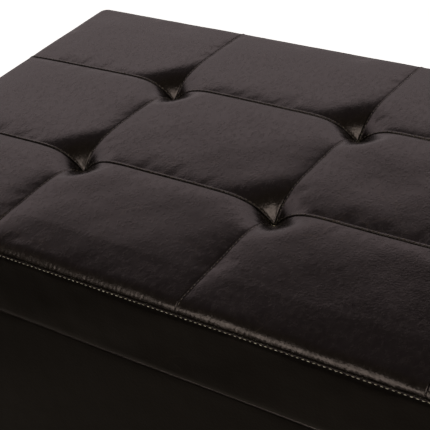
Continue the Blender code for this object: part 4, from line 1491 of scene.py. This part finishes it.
def studio_floor():
    material, output = new_material("studio_floor")
    place = add_node(material, "ShaderNodeTexCoord").outputs["Object"]
    mottle = add_node(material, "ShaderNodeTexNoise", {"Scale": 3.0, "Detail": 2.0}, {"Vector": place})
    tone = add_node(material, "ShaderNodeMapRange", NOISE_SPAN, {"Value": mottle.outputs["Fac"]})
    colour = add_node(
        material, "ShaderNodeMixRGB", {"Color1": linear("#f4f4f4"), "Color2": linear("#fafafa")},
        {"Fac": tone.outputs["Result"]},
    )
    shader = add_node(
        material, "ShaderNodeBsdfPrincipled",
        {"Roughness": 0.9, "Emission Color": (1.0, 1.0, 1.0, 1.0), "Emission Strength": 0.85},
        {"Base Color": colour.outputs["Color"]},
    )
    material.node_tree.links.new(shader.outputs["BSDF"], output.inputs["Surface"])
    return material


bpy.ops.mesh.primitive_plane_add(size=FLOOR_SIZE, location=(0, 0, 0))
floor = bpy.context.object
floor.name = "studio_floor"
floor.data.materials.append(studio_floor())
floor.visible_glossy = False

bpy.ops.mesh.primitive_cylinder_add(
    vertices=96, radius=FLOOR_SIZE / 2 - 0.1, depth=WALL_HEIGHT, end_fill_type="NOTHING", location=(0, 0, 3.9)
)
backdrop = bpy.context.object
backdrop.name = "studio_backdrop"
backdrop.data.materials.append(studio_floor())
backdrop.visible_glossy = False
backdrop.visible_diffuse = False
backdrop.visible_shadow = False

print("floor, m across:", FLOOR_SIZE)

# %% [markdown]
# ## The surround
#
# A dark glossy surface has almost no colour of its own, so what the eye sees on it is the
# light around it. The surround is bright low down at the back, which gives the flat panels
# their sheen, and falls off overhead, which leaves the steep sides of each tuft dark. Two
# ramps by height, one for the back and one for the front, are mixed by direction.

# %% Surround
world = bpy.data.worlds.new("studio_surround")
bpy.context.scene.world = world
world.use_nodes = True
world.node_tree.nodes.clear()
sky_output = add_node(world, "ShaderNodeOutputWorld")
direction = add_node(world, "ShaderNodeTexCoord").outputs["Generated"]
split = add_node(world, "ShaderNodeSeparateXYZ", links={"Vector": direction})


BACK_TINT = (1.0, 0.86, 0.87)
FRONT_TINT = (1.0, 0.87, 0.66)


def light_levels(levels, tint):
    """Light by height: pairs of the upward part of a direction, and its strength."""
    place = add_node(
        world, "ShaderNodeMapRange", {"From Min": -1.0, "From Max": 1.0}, {"Value": split.outputs["Z"]}
    )
    levels_ramp = add_node(world, "ShaderNodeValToRGB", links={"Fac": place.outputs["Result"]})
    ramp = levels_ramp.color_ramp
    while len(ramp.elements) < len(levels):
        ramp.elements.new(0.5)
    for element, (upward, level) in zip(ramp.elements, levels):
        element.position = (upward + 1) / 2
        element.color = tuple(level * share for share in tint) + (1.0,)
    return levels_ramp.outputs["Color"]


BACK_LEVELS = (
    (-1.0, 0.05), (-0.75, 0.10), (-0.50, 0.05), (-0.05, 0.02), (0.0, 0.60), (0.20, 0.60),
    (0.35, 0.48), (0.42, 0.80), (0.50, 1.24), (0.53, 1.06), (0.553, 0.48), (0.575, 0.18),
    (0.62, 0.09), (1.0, 0.16),
)
FRONT_LEVELS = (
    (-1.0, 0.09), (-0.75, 0.12), (-0.50, 0.02), (-0.25, 0.006), (0.0, 0.005), (0.20, 0.04),
    (0.45, 0.10), (0.70, 0.12), (0.90, 0.12), (1.0, 0.12),
)
facing = add_node(
    world, "ShaderNodeVectorMath", {"operation": "DOT_PRODUCT", 1: (-0.63, 0.77, 0.0)}, {0: direction}
)
back_share = add_node(
    world, "ShaderNodeMapRange", {"From Min": 0.05, "From Max": 0.55, "interpolation_type": "SMOOTHSTEP"},
    {"Value": facing.outputs["Value"]},
)
blend_sky = add_node(world, "ShaderNodeMixRGB", links={
    "Fac": back_share.outputs["Result"], "Color1": light_levels(FRONT_LEVELS, FRONT_TINT),
    "Color2": light_levels(BACK_LEVELS, BACK_TINT),
})
sky = add_node(world, "ShaderNodeBackground", {"Strength": 1.0}, {"Color": blend_sky.outputs["Color"]})
world.node_tree.links.new(sky.outputs["Background"], sky_output.inputs["Surface"])
print("surround nodes:", len(world.node_tree.nodes))

# %% [markdown]
# ## Soft lamps
#
# Two large soft panels, one in front and one high to the right, draw the bright line along
# the rolled front edge and lift the front row. A panel is set by how bright its face looks,
# and its power follows from its area.

# %% Soft lamps
def soft_panel(name, towards, distance, size, radiance, colour, target):
    """A soft light of a given brightness that faces the object from a direction."""
    light = bpy.data.lights.new(name, "AREA")
    light.shape = "RECTANGLE"
    light.size, light.size_y = size
    light.energy = radiance * math.pi * size[0] * size[1]
    light.color = colour
    lamp = bpy.data.objects.new(name, light)
    bpy.context.scene.collection.objects.link(lamp)
    away = Vector(towards).normalized()
    lamp.location = Vector(target) + away * distance
    lamp.rotation_euler = away.to_track_quat("Z", "Y").to_euler()
    return lamp


WARM = (1.0, 0.97, 0.84)
soft_panel("front_panel", (-0.30, -0.74, 0.60), 2.2, (1.5, 0.5), 3.4, WARM, (0.1, -0.24, 0.43))
soft_panel("high_front_right", (0.54, -0.38, 0.75), 2.4, (1.3, 1.0), 3.3, WARM, (0, 0, 0.43))

# %% [markdown]
# ## Camera
#
# The camera stands close above the front right corner and looks down over the top. Its
# direction is built from yaw, pitch and roll, so each can be read and changed alone, and its
# matrix holds the three axes and the place.

# %% Camera
CAMERA_PLACE = (0.5505, -0.8410, 1.0672)
SENSOR = 36.0                    # this and the lens are in millimetres
LENS = 101.788
YAW, PITCH, ROLL = (math.radians(angle) for angle in (-39.111, -33.605, -8.426))
forward = Vector((math.sin(YAW) * math.cos(PITCH), math.cos(YAW) * math.cos(PITCH), math.sin(PITCH)))
level_right = Vector((math.cos(YAW), -math.sin(YAW), 0))
level_up = level_right.cross(forward)
right = math.cos(ROLL) * level_right + math.sin(ROLL) * level_up
up = -math.sin(ROLL) * level_right + math.cos(ROLL) * level_up
camera_data = bpy.data.cameras.new("camera")
camera_data.sensor_width = SENSOR
camera_data.lens = LENS
camera = bpy.data.objects.new("camera", camera_data)
camera.matrix_world = Matrix((
    (right.x, up.x, -forward.x, CAMERA_PLACE[0]),
    (right.y, up.y, -forward.y, CAMERA_PLACE[1]),
    (right.z, up.z, -forward.z, CAMERA_PLACE[2]),
    (0, 0, 0, 1),
))
bpy.context.scene.collection.objects.link(camera)
bpy.context.scene.camera = camera
bpy.context.scene.view_settings.view_transform = "Standard"
print("lens, mm:", round(camera_data.lens, 2))
